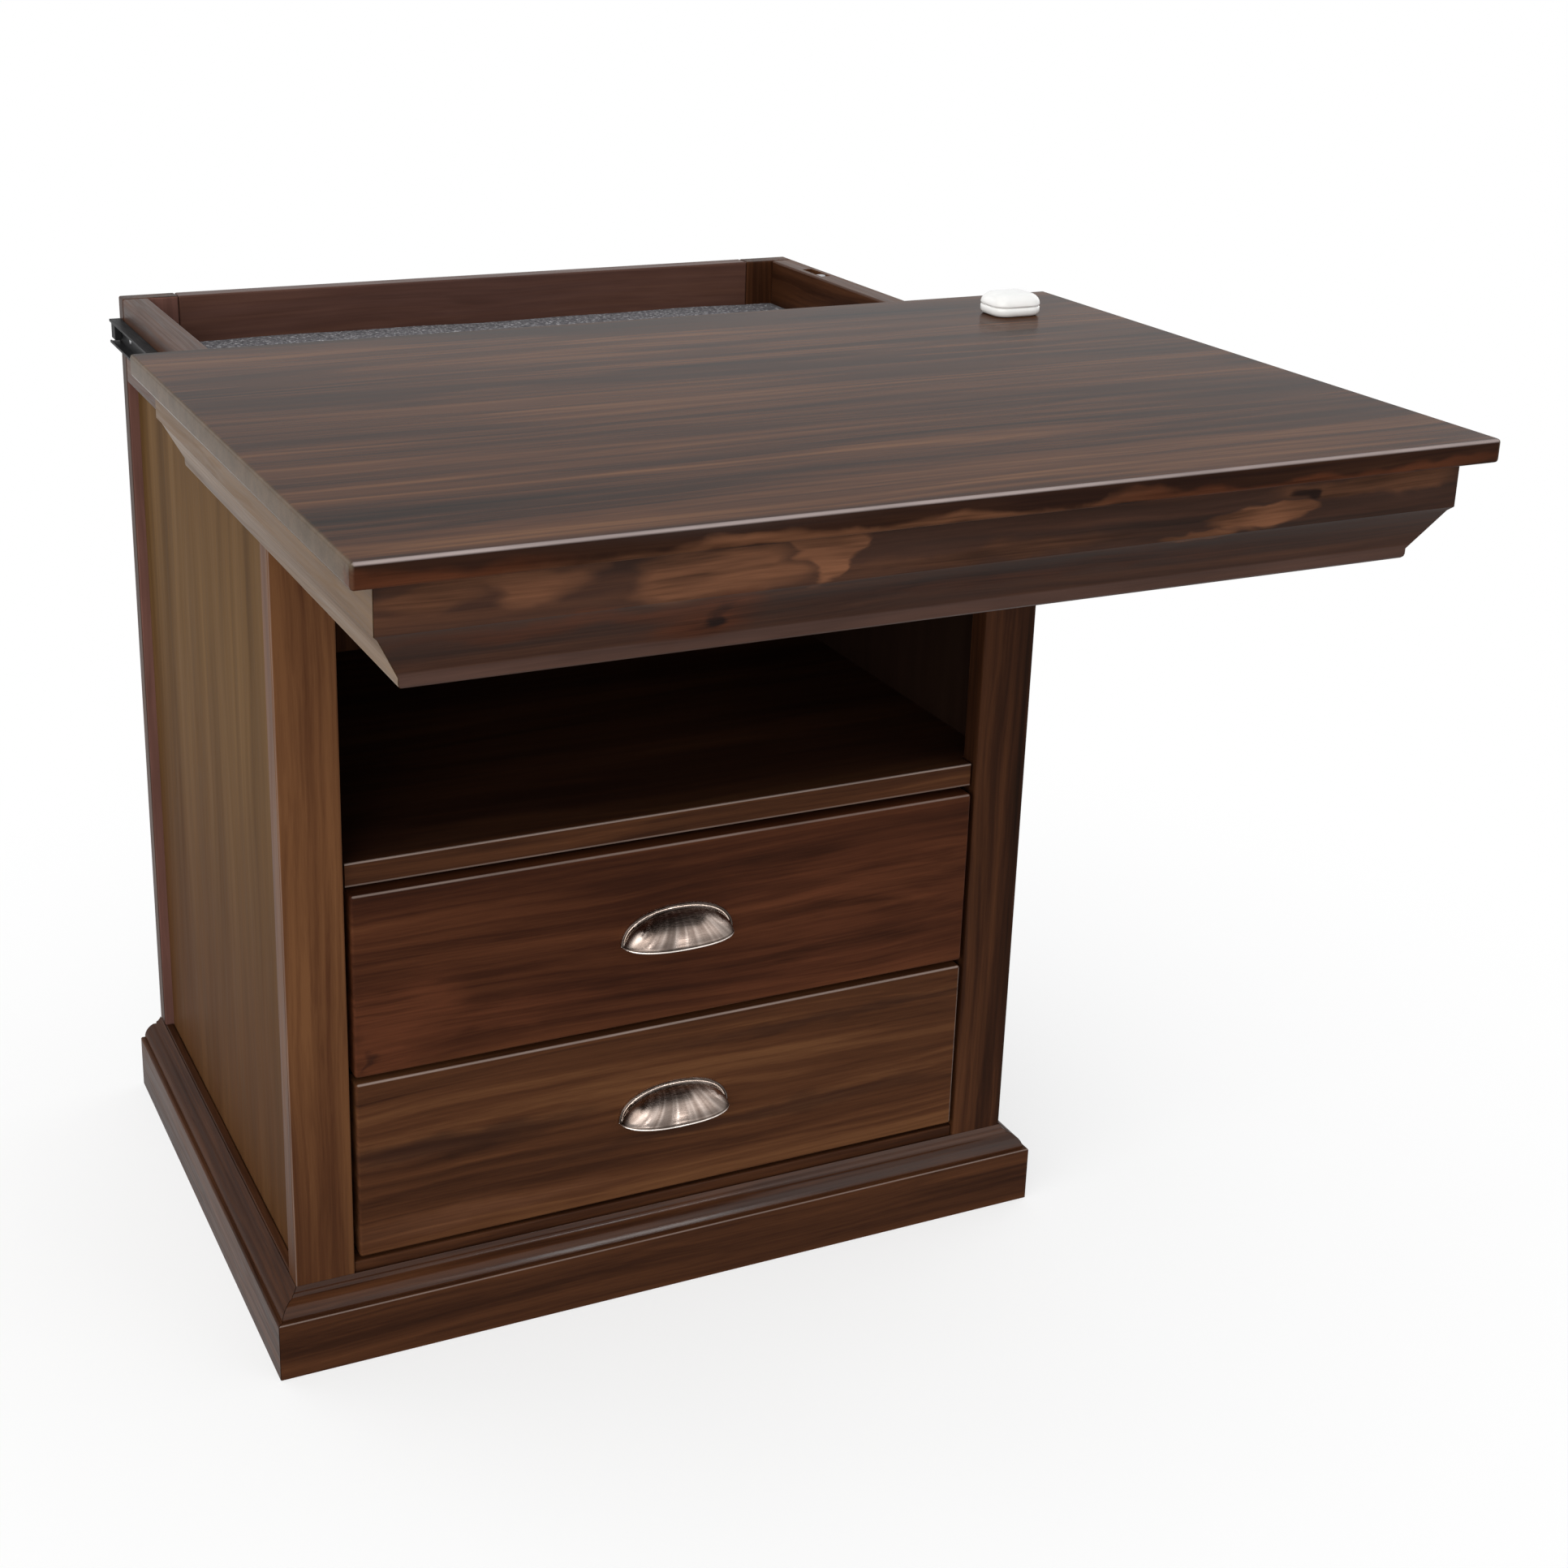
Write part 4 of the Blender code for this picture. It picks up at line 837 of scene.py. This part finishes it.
def sees_background(tree):
    """One for the rays that show the white background: straight, through glass and in reflections."""
    rays = add_node(tree, "LightPath").outputs
    straight = calc(tree, "MAXIMUM", rays["Is Camera Ray"], rays["Is Transmission Ray"])
    return calc(tree, "MAXIMUM", straight, rays["Is Glossy Ray"])


def pale_floor():
    """White away from the object, shadowed close to it, and grey to the light that it throws back."""
    made, tree, shader = new_material("pale_floor", Roughness=0.9)
    place = object_place(tree)
    cloud = noise(tree, place, FLOOR_CLOUD)
    whites = list(zip(NOISE_RANGE, FLOOR_WHITES))
    tree.links.new(ramp(tree, cloud, whites), shader.inputs["Base Color"])
    white = add_node(tree, "Emission", {"Color": WHITE, "Strength": 1.0}).outputs[0]
    grey = add_node(tree, "BsdfDiffuse", {"Color": (FLOOR_GREY, FLOOR_GREY, FLOOR_GREY, 1)}).outputs[0]
    away = remap(tree, vector(tree, "LENGTH", place), *SHADOW_REACH, SHADOW_WHITE, 1.0)
    pale = add_node(tree, "MixShader", {0: away, 1: shader.outputs[0], 2: white}).outputs[0]
    blend = add_node(tree, "MixShader", {0: sees_background(tree), 1: grey, 2: pale})
    tree.links.new(blend.outputs[0], tree.nodes["Material Output"].inputs["Surface"])
    return made


def make_floor():
    """A wide pale floor just below the object."""
    shape = bmesh.new()
    bmesh.ops.create_circle(shape, cap_ends=True, radius=FLOOR_RADIUS, segments=FLOOR_SIDES)
    mesh = bpy.data.meshes.new("floor")
    shape.to_mesh(mesh)
    shape.free()
    mesh.materials.append(pale_floor())
    floor = bpy.data.objects.new("floor", mesh)
    floor.location.z = -FLOOR_DROP
    bpy.context.scene.collection.objects.link(floor)


def make_world():
    """White to the camera and in reflections, and a softer pale surround for light."""
    world = bpy.data.worlds.new("studio")
    bpy.context.scene.world = world
    world.use_nodes = True
    tree = world.node_tree
    surround = tree.nodes["Background"]
    surround.inputs["Color"].default_value = SURROUND_COLOUR
    surround.inputs["Strength"].default_value = SURROUND_STRENGTH
    white = add_node(tree, "Background", {"Color": WHITE, "Strength": 1.0}).outputs[0]
    blend = add_node(tree, "MixShader", {0: sees_background(tree), 1: surround.outputs[0], 2: white})
    tree.links.new(blend.outputs[0], tree.nodes["World Output"].inputs["Surface"])


CABINET_MIDDLE = (0.0, 0.0, 0.35)
DRAWER_MIDDLE = (0.0, 0.0, 0.30)
KEY_WHITE = (1.0, 0.98, 0.95)
FILL_WHITE = (1.0, 0.97, 0.95)


def soft_light(name, spot, size, power, target=CABINET_MIDDLE, colour=(1, 1, 1)):
    """A rectangular lamp turned to a target."""
    light = bpy.data.lights.new(name, "AREA")
    light.shape = "RECTANGLE"
    light.size, light.size_y = size
    light.energy = power
    light.color = colour
    lamp = bpy.data.objects.new(name, light)
    lamp.location = spot
    lamp.rotation_euler = (Vector(target) - Vector(spot)).to_track_quat("-Z", "Y").to_euler()
    bpy.context.scene.collection.objects.link(lamp)


CAMERA_SPOT = Vector((-0.5939, -1.3106, 0.9596))
CAMERA_AZIMUTH, CAMERA_ELEVATION, CAMERA_ROLL = (math.radians(a) for a in (-24.57, 19.08, 1.14))
CAMERA_SENSOR = 36
CAMERA_LENS = 53.68
CAMERA_SHIFT = (0.070, -0.090)
CAMERA_NEAR = 0.05


def make_camera():
    """The photo's view: a place, a direction with a slight roll, and a lens that is a little shifted."""
    data = bpy.data.cameras.new("camera")
    data.sensor_width = CAMERA_SENSOR
    data.lens = CAMERA_LENS
    data.shift_x, data.shift_y = CAMERA_SHIFT
    data.clip_start = CAMERA_NEAR
    level = math.cos(CAMERA_ELEVATION)
    back = Vector((math.sin(CAMERA_AZIMUTH) * level, -math.cos(CAMERA_AZIMUTH) * level,
                   math.sin(CAMERA_ELEVATION)))
    right = Vector((0, 0, 1)).cross(back).normalized()
    up = back.cross(right)
    tilted_right = right * math.cos(CAMERA_ROLL) + up * math.sin(CAMERA_ROLL)
    tilted_up = up * math.cos(CAMERA_ROLL) - right * math.sin(CAMERA_ROLL)
    axes = Matrix((tilted_right, tilted_up, back)).transposed()
    camera = bpy.data.objects.new("camera", data)
    camera.matrix_world = Matrix.Translation(CAMERA_SPOT) @ axes.to_4x4()
    bpy.context.scene.collection.objects.link(camera)
    bpy.context.scene.camera = camera


make_floor()
make_world()
soft_light("key", (-3.0, -2.0, 1.8), (4.0, 4.0), 128, colour=KEY_WHITE)
soft_light("left_fill", (-0.9, -3.3, 1.5), (2.4, 3.0), 20, colour=FILL_WHITE)
soft_light("right_fill", (2.4, -2.7, 1.5), (2.2, 3.0), 19, colour=FILL_WHITE)
soft_light("left_strip", (-0.95, -2.5, 0.36), (0.28, 0.55), 7, DRAWER_MIDDLE)
soft_light("right_strip", (0.85, -2.5, 0.36), (0.28, 0.55), 6, DRAWER_MIDDLE)
soft_light("over", (0.4, -1.0, 2.8), (2.6, 1.8), 5, DRAWER_MIDDLE)
soft_light("right_rear", (3.3, 0.9, 1.9), (3.0, 2.6), 26)
soft_light("left_rear", (-2.2, 2.9, 2.0), (3.2, 2.4), 26)
make_camera()
bpy.context.scene.view_settings.view_transform = "Standard"
